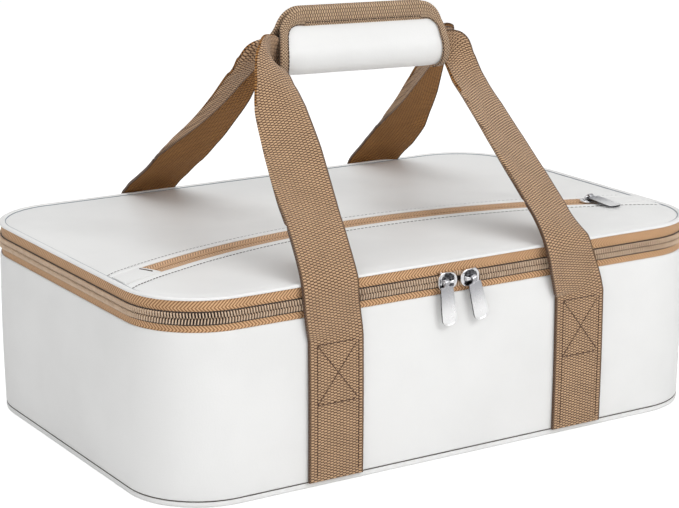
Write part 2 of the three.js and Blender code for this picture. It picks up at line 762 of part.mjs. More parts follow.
function spanStations({ face, side, slewShare, shares }) {
  const footX = side * strapFromMiddle;
  const start = new THREE.Vector3(footX, face * strapMiddle, stitchTop + seat);
  const edge = new THREE.Vector3(footX + slewShare * webbingWidth, face * strapOverZip, crossing);
  const end = new THREE.Vector3(side * (gripLength / 2 + seat), face * coreOffset - gripForward, coreLevel);
  const halfway = start.clone().lerp(edge, 1 / 2).setY(face * strapOverZip);
  const way = end.clone().sub(edge);
  const route = shares.map(([x, y, z]) => (
    new THREE.Vector3(x * way.x, y * way.y, z * way.z).add(edge)));
  const controls = [start, halfway, edge, ...route, end];
  const widths = [1, 1, 1, ...shares.map((row) => row[3]), coreHeight / webbingWidth];
  const curve = new THREE.CatmullRomCurve3(controls, false, 'centripetal');
  const outward = new THREE.Vector3(0, face, 0);
  return Array.from({ length: strapSteps + 1 }, (_, i) => {
    const u = i / strapSteps;
    const place = u * (controls.length - 1);
    const row = Math.min(Math.floor(place), widths.length - 2);
    const widthShare = THREE.MathUtils.lerp(widths[row], widths[row + 1], place - row);
    const tangent = curve.getTangent(u);
    if (i === 0) tangent.copy(up);
    if (i === strapSteps) tangent.copy(right).multiplyScalar(-side);
    const normal = outward.clone().addScaledVector(tangent, -outward.dot(tangent)).normalize();
    const across = new THREE.Vector3().crossVectors(normal, tangent).normalize();
    const half = (widthShare * webbingWidth) / 2;
    const folded = THREE.MathUtils.smoothstep(u, 1 - 2 / strapSteps, 1);
    const thick = THREE.MathUtils.lerp(webbingThickness, coreThickness, folded) / 2;
    const centre = curve.getPoint(u);
    const room = Math.max(0, face * (centre.y + gripForward) - thick - seat);
    const bow = Math.min(room, (1 - widthShare) * (1 - folded) * webbingWidth / 2);
    const columns = columnShares.map((share) => [share * half, thick, -bow * share * share]);
    return { centre, across, normal, columns };
  });
}

for (const strap of straps) {
  const footX = strap.side * strapFromMiddle;
  const footHeight = stitchTop - wallBottom;
  addPart(`${strap.name}_strap_foot`, block(
    webbingWidth,
    webbingThickness,
    footHeight,
    footX,
    strap.face * strapMiddle,
    wallBottom + footHeight / 2,
  ), 'webbing');
  addPart(`${strap.name}_strap`, ribbon(spanStations(strap)), 'webbing');
}
for (const [name, face] of [['front', -1], ['back', 1]]) {
  const y = face * coreOffset - gripForward;
  addPart(`${name}_grip_core`, block(gripLength, coreThickness, coreHeight, 0, y, coreLevel), 'webbing');
}

// Section of half the wrap: round the cores, in to a neck, and up the closure
const neckHalf = seat / 2 + patchThickness + 3 * seat + 2 * bindingThickness + wrapEdge;
const midDepth = bindingThickness + seat + wrapEdge / 2;
const neckRise = neckBottom - gripRadius;
const neckReach = Math.hypot(neckHalf, neckRise);
const rollEnd = Math.atan2(neckRise, neckHalf) - Math.acos(gripRadius / neckReach);
const rollStart = -Math.PI / 2;

// Middle of the wrap's thickness, walked up from the fold: [out, up, angle of the outward normal]
const midRadius = gripRadius - midDepth;
const rollWalk = midRadius * (rollEnd - rollStart);
const rollTop = [
  midRadius * Math.cos(rollEnd),
  gripRadius + midRadius * Math.sin(rollEnd),
];
const neckMid = neckHalf - midDepth;
const neckFoot = [neckMid, neckBottom];
const slopeWalk = Math.hypot(neckFoot[0] - rollTop[0], neckFoot[1] - rollTop[1]);
const wrapWalk = rollWalk + slopeWalk + gripHeight - neckBottom;

function wrapAt(walk) {
  if (walk <= rollWalk) {
    const angle = rollStart + walk / midRadius;
    return [midRadius * Math.cos(angle), gripRadius + midRadius * Math.sin(angle), angle];
  }
  if (walk <= rollWalk + slopeWalk) {
    const share = (walk - rollWalk) / slopeWalk;
    const out = THREE.MathUtils.lerp(rollTop[0], neckFoot[0], share);
    const rise = THREE.MathUtils.lerp(rollTop[1], neckFoot[1], share);
    return [out, rise, rollEnd * (1 - share)];
  }
  return [neckMid, neckBottom + walk - rollWalk - slopeWalk, 0];
}

function wrapFrame(walk, face) {
  const [out, rise, angle] = wrapAt(walk);
  return {
    centre: new THREE.Vector3(0, face * (out + seat / 2) - gripForward, gripBottom + rise),
    normal: new THREE.Vector3(0, face * Math.cos(angle), Math.sin(angle)),
    climb: new THREE.Vector3(0, -face * Math.sin(angle), Math.cos(angle)),
  };
}

const halfGrip = gripLength / 2;
const cornerFoot = wrapWalk - wrapCorner;

function wrapHalfLength(walk) {
  const above = Math.max(0, walk - cornerFoot);
  return halfGrip - wrapCorner + Math.sqrt(Math.max(0, wrapCorner ** 2 - above ** 2));
}

function evenly(from, to, steps) {
  return Array.from({ length: steps + 1 }, (_, i) => from + ((to - from) * i) / steps);
}

const cornerTurns = evenly(0, Math.PI / 2, 4);
const wrapWalks = [
  ...evenly(0, rollWalk, rollSteps),
  ...cornerTurns.map((turn) => cornerFoot + wrapCorner * Math.sin(turn)),
];

function wrapHalf(face) {
  const border = bindingWidth + seat;
  const thickUpTo = wrapWalk - border - wrapThickness;
  return ribbon(wrapWalks.map((walk) => {
    const { centre, normal } = wrapFrame(walk, face);
    const half = wrapHalfLength(walk);
    const thin = wrapEdge / 2;
    const thick = walk > thickUpTo ? thin : wrapThickness / 2;
    const columns = [
      [-half, thin],
      [border - half, thin],
      [border + wrapThickness - half, thick],
      [half - border - wrapThickness, thick],
      [half - border, thin],
      [half, thin],
    ];
    return { centre, across: right, normal, columns };
  }));
}

// Binding: a folded tape over both ends and the top edge of each half
function wrapBinding(face) {
  const inside = wrapEdge / 2 + seat;
  const outside = inside + bindingThickness;
  const profile = [
    [bindingWidth, outside],
    [bindingWidth, inside],
    [-seat, inside],
    [-seat, -inside],
    [bindingWidth, -inside],
    [bindingWidth, -outside],
    [-seat - bindingThickness, -outside],
    [-seat - bindingThickness, outside],
  ];
  const rise = evenly(wrapEdge, rollWalk, rollSteps).map((walk) => [walk, 0]);
  const turn = cornerTurns.map((angle) => [cornerFoot, angle]);
  const oneEnd = [...rise, ...turn];
  const stops = [
    ...oneEnd.map(([walk, angle]) => ({ walk, angle, side: -1 })),
    ...[...oneEnd].reverse().map(([walk, angle]) => ({ walk, angle, side: 1 })),
  ];
  const rings = stops.map(({ walk, angle, side }) => {
    const sideways = wrapCorner * Math.cos(angle) - wrapCorner;
    const level = walk + wrapCorner * Math.sin(angle);
    const { centre, normal, climb } = wrapFrame(level, face);
    const edge = centre.clone().setX(side * (halfGrip + sideways));
    const inward = new THREE.Vector3(-side * Math.cos(angle), 0, 0)
      .addScaledVector(climb, -Math.sin(angle));
    return profile.map(([w, n]) => edge.clone().addScaledVector(inward, w).addScaledVector(normal, n));
  });
  return skin(rings, profileCap(profile));
}

// Foam that fills the roll between the wrap and the cores
function gripPad(face) {
  const depth = midDepth + wrapThickness / 2 + seat;
  const radius = gripRadius - depth;
  const flat = coreOffset + coreThickness / 2 + seat;
  const from = -Math.acos(flat / radius);
  const outline = evenly(from, rollEnd, rollSteps).map((angle) => (
    new THREE.Vector2(face * radius * Math.cos(angle), gripRadius + radius * Math.sin(angle))));
  outline.push(new THREE.Vector2(face * flat, coreLift + coreHeight - seat));
  const length = gripLength - 2 * (bindingWidth + wrapThickness);
  return new THREE.ExtrudeGeometry(new THREE.Shape(outline), { depth: length, bevelEnabled: false })
    .rotateX(Math.PI / 2)
    .rotateZ(Math.PI / 2)
    .translate(-length / 2, -gripForward, gripBottom);
}

const patchLength = gripLength - 2 * patchInset;
const patchHeight = gripHeight - neckBottom - 2 * seat;
for (const [half, pad, patch, face] of [
  ['front', 'front_grip_pad', 'hook_patch', -1],
  ['flap', 'flap_grip_pad', 'loop_patch', 1],
]) {
  addPart(`grip_wrap_${half}`, wrapHalf(face), 'leather');
  addPart(`grip_binding_${half}`, wrapBinding(face), 'webbing');
  addPart(pad, gripPad(face), 'foam');
  const patchY = face * (seat + patchThickness) / 2 - gripForward;
  const patchZ = gripBottom + gripHeight - seat - patchHeight / 2;
  addPart(patch, block(patchLength, patchThickness, patchHeight, 0, patchY, patchZ), 'patch');
}

export default carrier;
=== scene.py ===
import math

import bmesh
import bpy
import numpy as np
from mathutils import Matrix, Vector, noise


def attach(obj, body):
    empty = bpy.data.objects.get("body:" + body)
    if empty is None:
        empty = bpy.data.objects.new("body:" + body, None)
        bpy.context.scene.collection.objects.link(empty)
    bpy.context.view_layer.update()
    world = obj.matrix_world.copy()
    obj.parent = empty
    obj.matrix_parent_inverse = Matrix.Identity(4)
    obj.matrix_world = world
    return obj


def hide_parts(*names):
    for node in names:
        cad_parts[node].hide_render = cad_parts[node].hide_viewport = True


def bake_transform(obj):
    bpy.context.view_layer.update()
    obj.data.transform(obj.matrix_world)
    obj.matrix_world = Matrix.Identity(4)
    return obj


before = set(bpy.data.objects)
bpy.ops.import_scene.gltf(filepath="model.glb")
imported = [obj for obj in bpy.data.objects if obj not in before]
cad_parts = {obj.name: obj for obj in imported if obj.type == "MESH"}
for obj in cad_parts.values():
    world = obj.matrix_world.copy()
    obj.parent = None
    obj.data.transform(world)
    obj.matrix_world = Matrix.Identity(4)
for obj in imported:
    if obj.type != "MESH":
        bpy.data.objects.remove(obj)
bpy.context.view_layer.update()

# The bag's own sizes, in metres, as its fixed frame has them
LENGTH, WIDTH, CORNER = 0.420, 0.278, 0.050
WALL_FOOT, WALL_TOP = 0.0041, 0.1095
HINGE_HALF = 0.150

# The lid's top, and its pocket's mouth along an arc about a point in front of the bag
LID_TOP, RIM_IN = 0.1311, 0.0045
CLOTH_TOP = LID_TOP - 0.0006
ARC, ARC_Y = 0.440, -0.462
MOUTH, MOUTH_END, MOUTH_SEAM = 0.0082, 0.182, 0.0068
POCKET_TAPE, POCKET_SLIDER = 0.1288, 0.1736

# The webbing, sewn to the wall up to the top of its feet, and the grip that its loops meet in
STRAP_X, STRAP_WIDTH, STRAP_THICK = 0.0936, 0.0388, 0.002
STRAP_WALL = WIDTH / 2 + 0.0003
FOOT_TOP, BACK_SHIFT = 0.0953, 0.008
FOOT_LENGTH = FOOT_TOP - WALL_FOOT
GRIP_Y, GRIP_Z, GRIP_HALF, GRIP_HEIGHT = -0.020, 0.232, 0.063, 0.044
GRIP_ROUND, NECK = 0.0135, 0.032
CORE_OUT, CORE_LIFT = 0.00215, 0.0055
TILT = 0.026

# The zips: the height of the main one's middle, where its sliders meet, the coils and the sliders' plates
CHAIN, ZIP_MEETING, SLIDER_HALF = 0.1182, -0.0033, 0.0084
COIL_PITCH, COIL_REACH = 0.0019, 0.00345
MAIN_PLATES, POCKET_PLATES = (-0.0003, 0.0035), (-0.0027, 0.0011)
PLATE, BAR_LIFT = 0.0012, 0.0024
PULL_TOP, PULL_TIP = 0.0028, 0.0285


# Picking, editing and finishing pieces

def clear_choice():
    if bpy.context.object and bpy.context.object.mode != "OBJECT":
        bpy.ops.object.mode_set(mode="OBJECT")
    bpy.ops.object.select_all(action="DESELECT")


def choose(piece):
    clear_choice()
    piece.select_set(True)
    bpy.context.view_layer.objects.active = piece


def newest(name):
    piece = bpy.context.object
    piece.name = name
    piece.data.name = name
    return piece


def settle(piece):
    choose(piece)
    bpy.ops.object.transform_apply(location=True, rotation=True, scale=True)
    return piece


def modify(piece, kind, **values):
    choose(piece)
    modifier = piece.modifiers.new(kind, kind)
    for key, value in values.items():
        setattr(modifier, key, value)
    bpy.ops.object.modifier_apply(modifier=modifier.name)
    return piece


def soften(piece, width, segments, angle):
    """Rounds the edges that turn by more than an angle in degrees."""
    return modify(piece, "BEVEL", width=width, segments=segments, limit_method="ANGLE",
                  angle_limit=math.radians(angle))


def join(name, pieces):
    clear_choice()
    for piece in pieces:
        piece.select_set(True)
    bpy.context.view_layer.objects.active = pieces[0]
    if len(pieces) > 1:
        bpy.ops.object.join()
    return newest(name)


def open_mesh(piece):
    """Opens a piece in edit mode, with all of it selected."""
    choose(piece)
    bpy.ops.object.mode_set(mode="EDIT")
    bpy.ops.mesh.select_all(action="SELECT")


def close_mesh():
    bpy.ops.object.mode_set(mode="OBJECT")


def pick(piece, kind, wanted):
    """In edit mode, selects the points, edges or faces that pass a test."""
    bpy.ops.mesh.select_mode(type=kind)
    bpy.ops.mesh.select_all(action="DESELECT")
    mesh = bmesh.from_edit_mesh(piece.data)
    for item in {"VERT": mesh.verts, "EDGE": mesh.edges, "FACE": mesh.faces}[kind]:
        item.select_set(wanted(item))
    bmesh.update_edit_mesh(piece.data)


def draw_out(*way):
    """In edit mode, extrudes what is selected."""
    bpy.ops.mesh.extrude_region_move(TRANSFORM_OT_translate={"value": way})


def round_corners(offset, segments, profile=0.5):
    """In edit mode, rounds the selected corners of a flat face."""
    bpy.ops.mesh.bevel(offset=offset, offset_type="OFFSET", segments=segments, profile=profile,
                       affect="VERTICES")


def face_outward(piece):
    open_mesh(piece)
    bpy.ops.mesh.remove_doubles(threshold=1e-6)
    bpy.ops.mesh.normals_make_consistent(inside=False)
    close_mesh()
    return piece


def turn_over(piece):
    open_mesh(piece)
    bpy.ops.mesh.flip_normals()
    close_mesh()


def looks(piece, *way):
    """Whether a cloth faces along a direction."""
    return sum(face.normal.dot(Vector(way)) for face in piece.data.polygons) > 0


def smooth(piece, angle):
    choose(piece)
    bpy.ops.object.shade_smooth_by_angle(angle=math.radians(angle))
    return piece


def thicken(piece, thickness, offset, angle=50):
    """Gives a cloth its thickness, all of it behind its face where offset is -1."""
    modify(piece, "SOLIDIFY", thickness=thickness, offset=offset)
    smooth(face_outward(piece), angle)


def points_of(piece):
    co = np.empty(len(piece.data.vertices) * 3)
    piece.data.vertices.foreach_get("co", co)
    return co.reshape(-1, 3)


def put_points(piece, co):
    piece.data.vertices.foreach_set("co", np.asarray(co, float).ravel())
    piece.data.update()


def shape_points(piece, place):
    """Moves every point of a piece to place(x, y, z)."""
    put_points(piece, np.array([place(*p) for p in points_of(piece)]))


def cloth_map(piece):
    if not piece.data.uv_layers:
        piece.data.uv_layers.new(name="cloth")
    return piece.data.uv_layers[0].data


def put_map(piece, flat):
    """Writes a UV map in metres, from one (along, across) for each point."""
    layer = cloth_map(piece)
    for loop in piece.data.loops:
        layer[loop.index].uv = flat[loop.vertex_index]


def map_cloth(piece, flat):
    """Gives a piece a UV map in metres, from flat(x, y, z) = (along, across)."""
    put_map(piece, [flat(*point.co) for point in piece.data.vertices])
    return piece


def box(size, place):
    bpy.ops.mesh.primitive_cube_add(size=1)
    block = bpy.context.object
    block.scale = size
    block.location = place
    return settle(block)


def plate(name, length, width, place=(0, 0, 0)):
    """One flat face."""
    bpy.ops.mesh.primitive_plane_add(size=1)
    piece = newest(name)
    piece.scale = (length, width, 1)
    piece.location = place
    return settle(piece)


def grid(name, along, across, length=1.0, width=1.0):
    """A flat cloth, from 0 to length along X and centred across Y, with its UV map in metres."""
    bpy.ops.mesh.primitive_grid_add(x_subdivisions=along, y_subdivisions=across, size=1)
    piece = newest(name)
    piece.scale = (length, width, 1)
    piece.location = (length / 2, 0, 0)
    settle(piece)
    return map_cloth(piece, lambda x, y, z: (x, y))


# The bag's outline, walked from the middle of the back to the left, the front, the right and back

FLAT_X, FLAT_Y, QUARTER = LENGTH - 2 * CORNER, WIDTH - 2 * CORNER, CORNER * math.pi / 2
RUNS = [(FLAT_X / 2, False), (QUARTER, True), (FLAT_Y, False), (QUARTER, True), (FLAT_X, False),
        (QUARTER, True), (FLAT_Y, False), (QUARTER, True), (FLAT_X / 2, False)]
GIRTH = sum(run for run, _ in RUNS)


def outline_at(distance):
    heading, left, x, y = math.pi, distance % GIRTH, 0.0, WIDTH / 2
    for run, turns in RUNS:
        step = min(left, run)
        if turns:
            turn = step / CORNER
            x += CORNER * (math.sin(heading + turn) - math.sin(heading))
            y -= CORNER * (math.cos(heading + turn) - math.cos(heading))
            heading += turn
        else:
            x += step * math.cos(heading)
            y += step * math.sin(heading)
        left -= step
        if left <= 1e-9:
            break
    return x, y, math.sin(heading), -math.cos(heading)


def on_outline(distance, inset, height):
    x, y, nx, ny = outline_at(distance)
    return x - inset * nx, y - inset * ny, height


def outline_distance(x, y):
    """How far round the outline a point near it lies."""
    fx, fy = FLAT_X / 2, FLAT_Y / 2
    if abs(x) <= fx and abs(y) > fy:
        return -x % GIRTH if y > 0 else GIRTH / 2 + x
    if abs(y) <= fy:
        middle = fx + QUARTER + fy
        return middle - y if x < 0 else GIRTH - middle + y
    turn = math.atan2(abs(y) - fy, abs(x) - fx)
    if y > 0:
        part = fx + CORNER * (math.pi / 2 - turn)
        return part if x < 0 else GIRTH - part
    part = CORNER * (math.pi / 2 - turn)
    return GIRTH / 2 - fx - part if x < 0 else GIRTH / 2 + fx + part


def is_open(edge):
    return edge.is_boundary or edge.is_wire


def lies_at(item, height):
    return all(abs(point.co.z - height) < 1e-6 for point in item.verts)


def loft_outline(name, profile, bend, runs, capped=False):
    """A skin round the bag: its outline, drawn out once for each further (inset, height) of a profile in mm.

    It closes on itself, or has a flat face over both its ends where it is capped.
    """
    step = 0.01
    piece = plate(name, LENGTH, WIDTH)
    open_mesh(piece)
    round_corners(CORNER, bend)
    bpy.ops.mesh.select_all(action="SELECT")
    bpy.ops.mesh.delete(type="ONLY_FACE")
    pick(piece, "EDGE", lambda edge: edge.calc_length() > 0.1)
    bpy.ops.mesh.subdivide(number_cuts=runs)
    bpy.ops.mesh.select_all(action="SELECT")
    for _ in profile[1:]:
        draw_out(0, 0, step)
    if capped:
        for level in (0, step * (len(profile) - 1)):
            pick(piece, "EDGE", lambda edge: is_open(edge) and lies_at(edge, level))
            bpy.ops.mesh.edge_face_add()
    else:
        pick(piece, "EDGE", is_open)
        bpy.ops.mesh.bridge_edge_loops()
    bpy.ops.mesh.select_mode(type="VERT")
    close_mesh()
    walk = [0.0]
    for (a, b), (c, d) in zip(profile, profile[1:]):
        walk.append(walk[-1] + math.hypot(c - a, d - b) / 1000)
    flat, places = [], []
    for x, y, z in points_of(piece):
        ring = int(round(z / step))
        inset, height = profile[ring]
        corner_x, corner_y = max(-FLAT_X / 2, min(FLAT_X / 2, x)), max(-FLAT_Y / 2, min(FLAT_Y / 2, y))
        out = Vector((x - corner_x, y - corner_y)).normalized()
        flat.append((outline_distance(x, y), walk[ring]))
        places.append((x - out.x * inset / 1000, y - out.y * inset / 1000, height / 1000))
    put_points(piece, places)
    put_map(piece, flat)
    mend_wrap(piece)
    return face_outward(piece)


def mend_wrap(piece):
    """Where a face crosses the start of the outline, its map goes on past the girth."""
    layer = piece.data.uv_layers[0].data
    for face in piece.data.polygons:
        across = [layer[i].uv[0] for i in face.loop_indices]
        if max(across) - min(across) > GIRTH / 2:
            for i in face.loop_indices:
                if layer[i].uv[0] < GIRTH / 2:
                    layer[i].uv[0] += GIRTH


def keep_outside_hinge(piece):
    """Cuts a hoop open at the back, where the lid's hinge strip is."""
    half, back = HINGE_HALF + 0.0003, FLAT_Y / 2 + 0.02

    def take(wanted):
        mesh = bmesh.from_edit_mesh(piece.data)
        for face in mesh.faces:
            face.select_set(wanted(face.calc_center_median()))
        mesh.select_flush_mode()
        bmesh.update_edit_mesh(piece.data)
    open_mesh(piece)
    for side in (-1, 1):
        take(lambda middle: middle.y > back)
        bpy.ops.mesh.bisect(plane_co=(side * half, 0, 0), plane_no=(1, 0, 0))
    take(lambda middle: middle.y > back and abs(middle.x) < half)
    bpy.ops.mesh.delete(type="FACE")
    for side in (-1, 1):
        pick(piece, "EDGE", lambda edge: edge.is_boundary and edge.verts[0].co.x * side > 0)
        bpy.ops.mesh.edge_face_add()
    bpy.ops.mesh.select_mode(type="VERT")
    close_mesh()


def rise(value, span):
    """From 0 to 1 while a value goes from 0 to span."""
    return min(1, max(0, value) / span)


def hill(value, width):
    """1 where a value is 0, and less within about width to both sides."""
    return math.exp(-(value / width) ** 2)


def soft(x, y, z, size, seed=0.0):
    """Smooth hills and hollows from -1 to 1, size metres across."""
    return noise.noise(Vector((x / size + seed, y / size - seed, z / size + 2 * seed)))


def sag(piece, how):
    """Moves each point along its own outward direction by how(x, y, z) metres."""
    normals = np.array([v.normal for v in piece.data.vertices])
    co = points_of(piece)
    amount = np.array([how(*p) for p in co])
    put_points(piece, co + normals * amount[:, None])


# Node groups for the weaves and the grain

def new_group(name, inputs, outputs):
    tree = bpy.data.node_groups.new(name, "ShaderNodeTree")
    for label, kind, default in inputs:
        socket = tree.interface.new_socket(label, in_out="INPUT", socket_type=kind)
        if default is not None:
            socket.default_value = default
    for label, kind in outputs:
        tree.interface.new_socket(label, in_out="OUTPUT", socket_type=kind)
    return tree, tree.nodes.new("NodeGroupInput"), tree.nodes.new("NodeGroupOutput")


class Sums:
    """Writes chains of Math nodes in one tree."""

    def __init__(self, tree):
        self.tree = tree

    def put(self, socket, value):
        if isinstance(value, (int, float)):
            socket.default_value = value
        else:
            self.tree.links.new(value, socket)

    def __call__(self, operation, *values):
        node = self.tree.nodes.new("ShaderNodeMath")
        node.operation = operation
        for socket, value in zip(node.inputs, values):
            self.put(socket, value)
        return node.outputs[0]


def noise_node(tree, vector, scale, detail, roughness=0.5):
    node = tree.nodes.new("ShaderNodeTexNoise")
    node.inputs["Scale"].default_value = scale
    node.inputs["Detail"].default_value = detail
    node.inputs["Roughness"].default_value = roughness
    tree.links.new(vector, node.inputs["Vector"])
    return node.outputs["Fac"]


def ramp(tree, value, low, high, to_low=0.0, to_high=1.0):
    node = tree.nodes.new("ShaderNodeMapRange")
    node.interpolation_type = "SMOOTHSTEP"
    for label, number in (("From Min", low), ("From Max", high), ("To Min", to_low), ("To Max", to_high)):
        node.inputs[label].default_value = number
    tree.links.new(value, node.inputs["Value"])
    return node.outputs["Result"]


def split_node(tree, vector):
    """The three parts of a vector, as sockets."""
    node = tree.nodes.new("ShaderNodeSeparateXYZ")
    tree.links.new(vector, node.inputs[0])
    return node.outputs


def make_ribbed_weave():
    """Webbing: ribs across the tape in columns that step by half a rib, with painted shade in the gaps between
    the ribs.
    """
    tree, inside, outside = new_group(
        "Ribbed weave",
        [("Vector", "NodeSocketVector", None), ("Rib", "NodeSocketFloat", 0.00145),
         ("Column", "NodeSocketFloat", 0.0047)],
        [("Height", "NodeSocketFloat"), ("Gap shade", "NodeSocketFloat")],
    )
    sums = Sums(tree)
    parts = split_node(tree, inside.outputs["Vector"])
    wobble = noise_node(tree, inside.outputs["Vector"], 420.0, 1.0)
    columns = sums("DIVIDE", parts[1], inside.outputs["Column"])
    step = sums("MULTIPLY", sums("FLOOR", columns), 0.5)
    ribs = sums("ADD", sums("DIVIDE", parts[0], inside.outputs["Rib"]), step)
    ribs = sums("ADD", ribs, sums("MULTIPLY", wobble, 0.35))
    rib = sums("ABSOLUTE", sums("SINE", sums("MULTIPLY", ribs, math.pi)))
    across = sums("ABSOLUTE", sums("SINE", sums("MULTIPLY", columns, math.pi)))
    rounded = sums("POWER", across, 0.2)
    height = sums("MULTIPLY", rib, rounded)
    tree.links.new(height, outside.inputs["Height"])
    # Gap shade: painted shade, strongest where the ribs sink.
    tree.links.new(ramp(tree, height, 0.3, 0.85, 1.0, 0.0), outside.inputs["Gap shade"])
    return tree


def make_twill():
    """Woven tape: fine slanting ribs that change direction in narrow bands, with painted shade in the gaps
    between the ribs.
    """
    tree, inside, outside = new_group(
        "Herringbone",
        [("Vector", "NodeSocketVector", None), ("Rib", "NodeSocketFloat", 0.0011),
         ("Band", "NodeSocketFloat", 0.0024)],
        [("Height", "NodeSocketFloat"), ("Gap shade", "NodeSocketFloat")],
    )
    sums = Sums(tree)
    parts = split_node(tree, inside.outputs["Vector"])
    slant = sums("ADD", parts[0], sums("PINGPONG", parts[1], inside.outputs["Band"]))
    wave = sums("SINE", sums("MULTIPLY", sums("DIVIDE", slant, inside.outputs["Rib"]), 2 * math.pi))
    height = sums("MULTIPLY_ADD", wave, 0.5, 0.5)
    tree.links.new(height, outside.inputs["Height"])
    # Gap shade: painted shade, strongest where the ribs sink.
    tree.links.new(ramp(tree, height, 0.2, 0.65, 1.0, 0.0), outside.inputs["Gap shade"])
    return tree


def make_grain():
    """Leather-look grain: small pebbles with soft creases between them."""
    tree, inside, outside = new_group(
        "Pebble grain",
        [("Vector", "NodeSocketVector", None), ("Scale", "NodeSocketFloat", 900.0)],
        [("Height", "NodeSocketFloat"), ("Cloud", "NodeSocketFloat")],
    )
    cells = tree.nodes.new("ShaderNodeTexVoronoi")
    cells.feature = "SMOOTH_F1"
    cells.inputs["Smoothness"].default_value = 0.6
    tree.links.new(inside.outputs["Vector"], cells.inputs["Vector"])
    tree.links.new(inside.outputs["Scale"], cells.inputs["Scale"])
    tree.links.new(cells.outputs["Distance"], outside.inputs["Height"])
    tree.links.new(noise_node(tree, inside.outputs["Vector"], 14.0, 4.0), outside.inputs["Cloud"])
    return tree


RIBBED = make_ribbed_weave()
HERRINGBONE = make_twill()
GRAIN = make_grain()


class Finish:
    """One procedural material and the few nodes that all of them need."""

    def __init__(self, name, roughness, metallic=0.0, sheen=0.0, specular=0.5):
        self.material = bpy.data.materials.new(name)
        self.material.use_nodes = True
        self.tree = self.material.node_tree
        self.shader = self.tree.nodes["Principled BSDF"]
        self.shader.inputs["Roughness"].default_value = roughness
        self.shader.inputs["Metallic"].default_value = metallic
        self.shader.inputs["Sheen Weight"].default_value = sheen
        self.shader.inputs["Specular IOR Level"].default_value = specular
        self.sums = Sums(self.tree)

    def where(self, kind="Object"):
        return self.tree.nodes.new("ShaderNodeTexCoord").outputs[kind]

    def group(self, tree, vector, **values):
        node = self.tree.nodes.new("ShaderNodeGroup")
        node.node_tree = tree
        self.tree.links.new(vector, node.inputs["Vector"])
        for key, value in values.items():
            node.inputs[key].default_value = value
        return node.outputs

    def noise(self, vector, scale, detail, roughness=0.5):
        return noise_node(self.tree, vector, scale, detail, roughness)

    def ramp(self, value, *ends):
        return ramp(self.tree, value, *ends)

    def split(self, vector):
        return split_node(self.tree, vector)

    def mix(self, factor, low, high):
        node = self.tree.nodes.new("ShaderNodeMix")
        node.data_type = "RGBA"
        self.sums.put(node.inputs["Factor"], factor)
        for socket, value in ((node.inputs["A"], low), (node.inputs["B"], high)):
            if isinstance(value, tuple):
                socket.default_value = (*value, 1.0)
            else:
                self.tree.links.new(value, socket)
        return node.outputs["Result"]

    def colour(self, value):
        self.tree.links.new(value, self.shader.inputs["Base Color"])

    def rough(self, value):
        self.tree.links.new(value, self.shader.inputs["Roughness"])

    def bump(self, height, distance, strength, base=None):
        node = self.tree.nodes.new("ShaderNodeBump")
        node.inputs["Distance"].default_value = distance
        node.inputs["Strength"].default_value = strength
        self.tree.links.new(height, node.inputs["Height"])
        if base is not None:
            self.tree.links.new(base, node.inputs["Normal"])
        self.tree.links.new(node.outputs["Normal"], self.shader.inputs["Normal"])
        return node.outputs["Normal"]


def make_leather():
    finish = Finish("White leather look", 0.42, specular=0.42)
    where = finish.where()
    grain = finish.group(GRAIN, where, Scale=1050.0)
    cloud = finish.ramp(grain["Cloud"], 0.35, 0.7)
    finish.colour(finish.mix(cloud, (0.83, 0.83, 0.822), (0.79, 0.79, 0.782)))
    finish.rough(finish.ramp(grain["Cloud"], 0.3, 0.75, 0.38, 0.5))
    fine = finish.bump(grain["Height"], 0.00005, 0.7)
    finish.bump(finish.noise(where, 55.0, 2.0), 0.0009, 0.25, fine)
    return finish.material


def make_webbing(name, tan, dark, column, border=STRAP_WIDTH / 2, sheen=0.25):
    """Ribbed webbing from its UV map in metres, darker in a band just inside border."""
    finish = Finish(name, 0.8, sheen=sheen, specular=0.25)
    flat = finish.where("UV")
    weave = finish.group(RIBBED, flat, Rib=0.0018, Column=column)
    patches = finish.noise(flat, 60.0, 3.0)
    lit = finish.mix(finish.ramp(patches, 0.35, 0.7), tan, tuple(0.9 * c for c in tan))
    # Painted shade: the dark colour goes into the gaps between the ribs.
    woven = finish.mix(weave["Gap shade"], lit, dark)
    across = finish.sums("ABSOLUTE", finish.split(flat)[1])
    edge = finish.ramp(across, border - 0.0011, border - 0.0003)
    finish.colour(finish.mix(edge, woven, dark))
    finish.bump(weave["Height"], 0.0004, 0.9)
    return finish.material


def make_tape():
    tan, dark = (0.71, 0.44, 0.245), (0.30, 0.155, 0.07)
    finish = Finish("Zip tape", 0.85, sheen=0.2, specular=0.2)
    flat = finish.where("UV")
    weave = finish.group(HERRINGBONE, flat, Rib=0.0023, Band=0.0046)
    patches = finish.noise(flat, 80.0, 3.0)
    lit = finish.mix(finish.ramp(patches, 0.35, 0.7), tan, tuple(0.92 * c for c in tan))
    # Painted shade: the dark colour goes into the gaps between the ribs.
    finish.colour(finish.mix(weave["Gap shade"], lit, dark))
    finish.bump(weave["Height"], 0.00016, 0.8)
    return finish.material


def make_coil():
    finish = Finish("Coil", 0.27, specular=0.6)
    fleck = finish.noise(finish.where(), 240.0, 2.0)
    finish.colour(finish.mix(fleck, (0.76, 0.59, 0.43), (0.55, 0.39, 0.27)))
    finish.bump(fleck, 0.00008, 0.5)
    return finish.material


def make_thread(name, pale, dark):
    finish = Finish(name, 0.7, sheen=0.2, specular=0.3)
    twist = finish.tree.nodes.new("ShaderNodeTexWave")
    twist.bands_direction = "DIAGONAL"
    twist.inputs["Scale"].default_value = 900.0
    finish.tree.links.new(finish.where(), twist.inputs["Vector"])
    # The darker diagonal bands are painted shade between the thread's twisted plies.
    finish.colour(finish.mix(twist.outputs["Fac"], dark, pale))
    finish.bump(twist.outputs["Fac"], 0.0001, 0.6)
    return finish.material


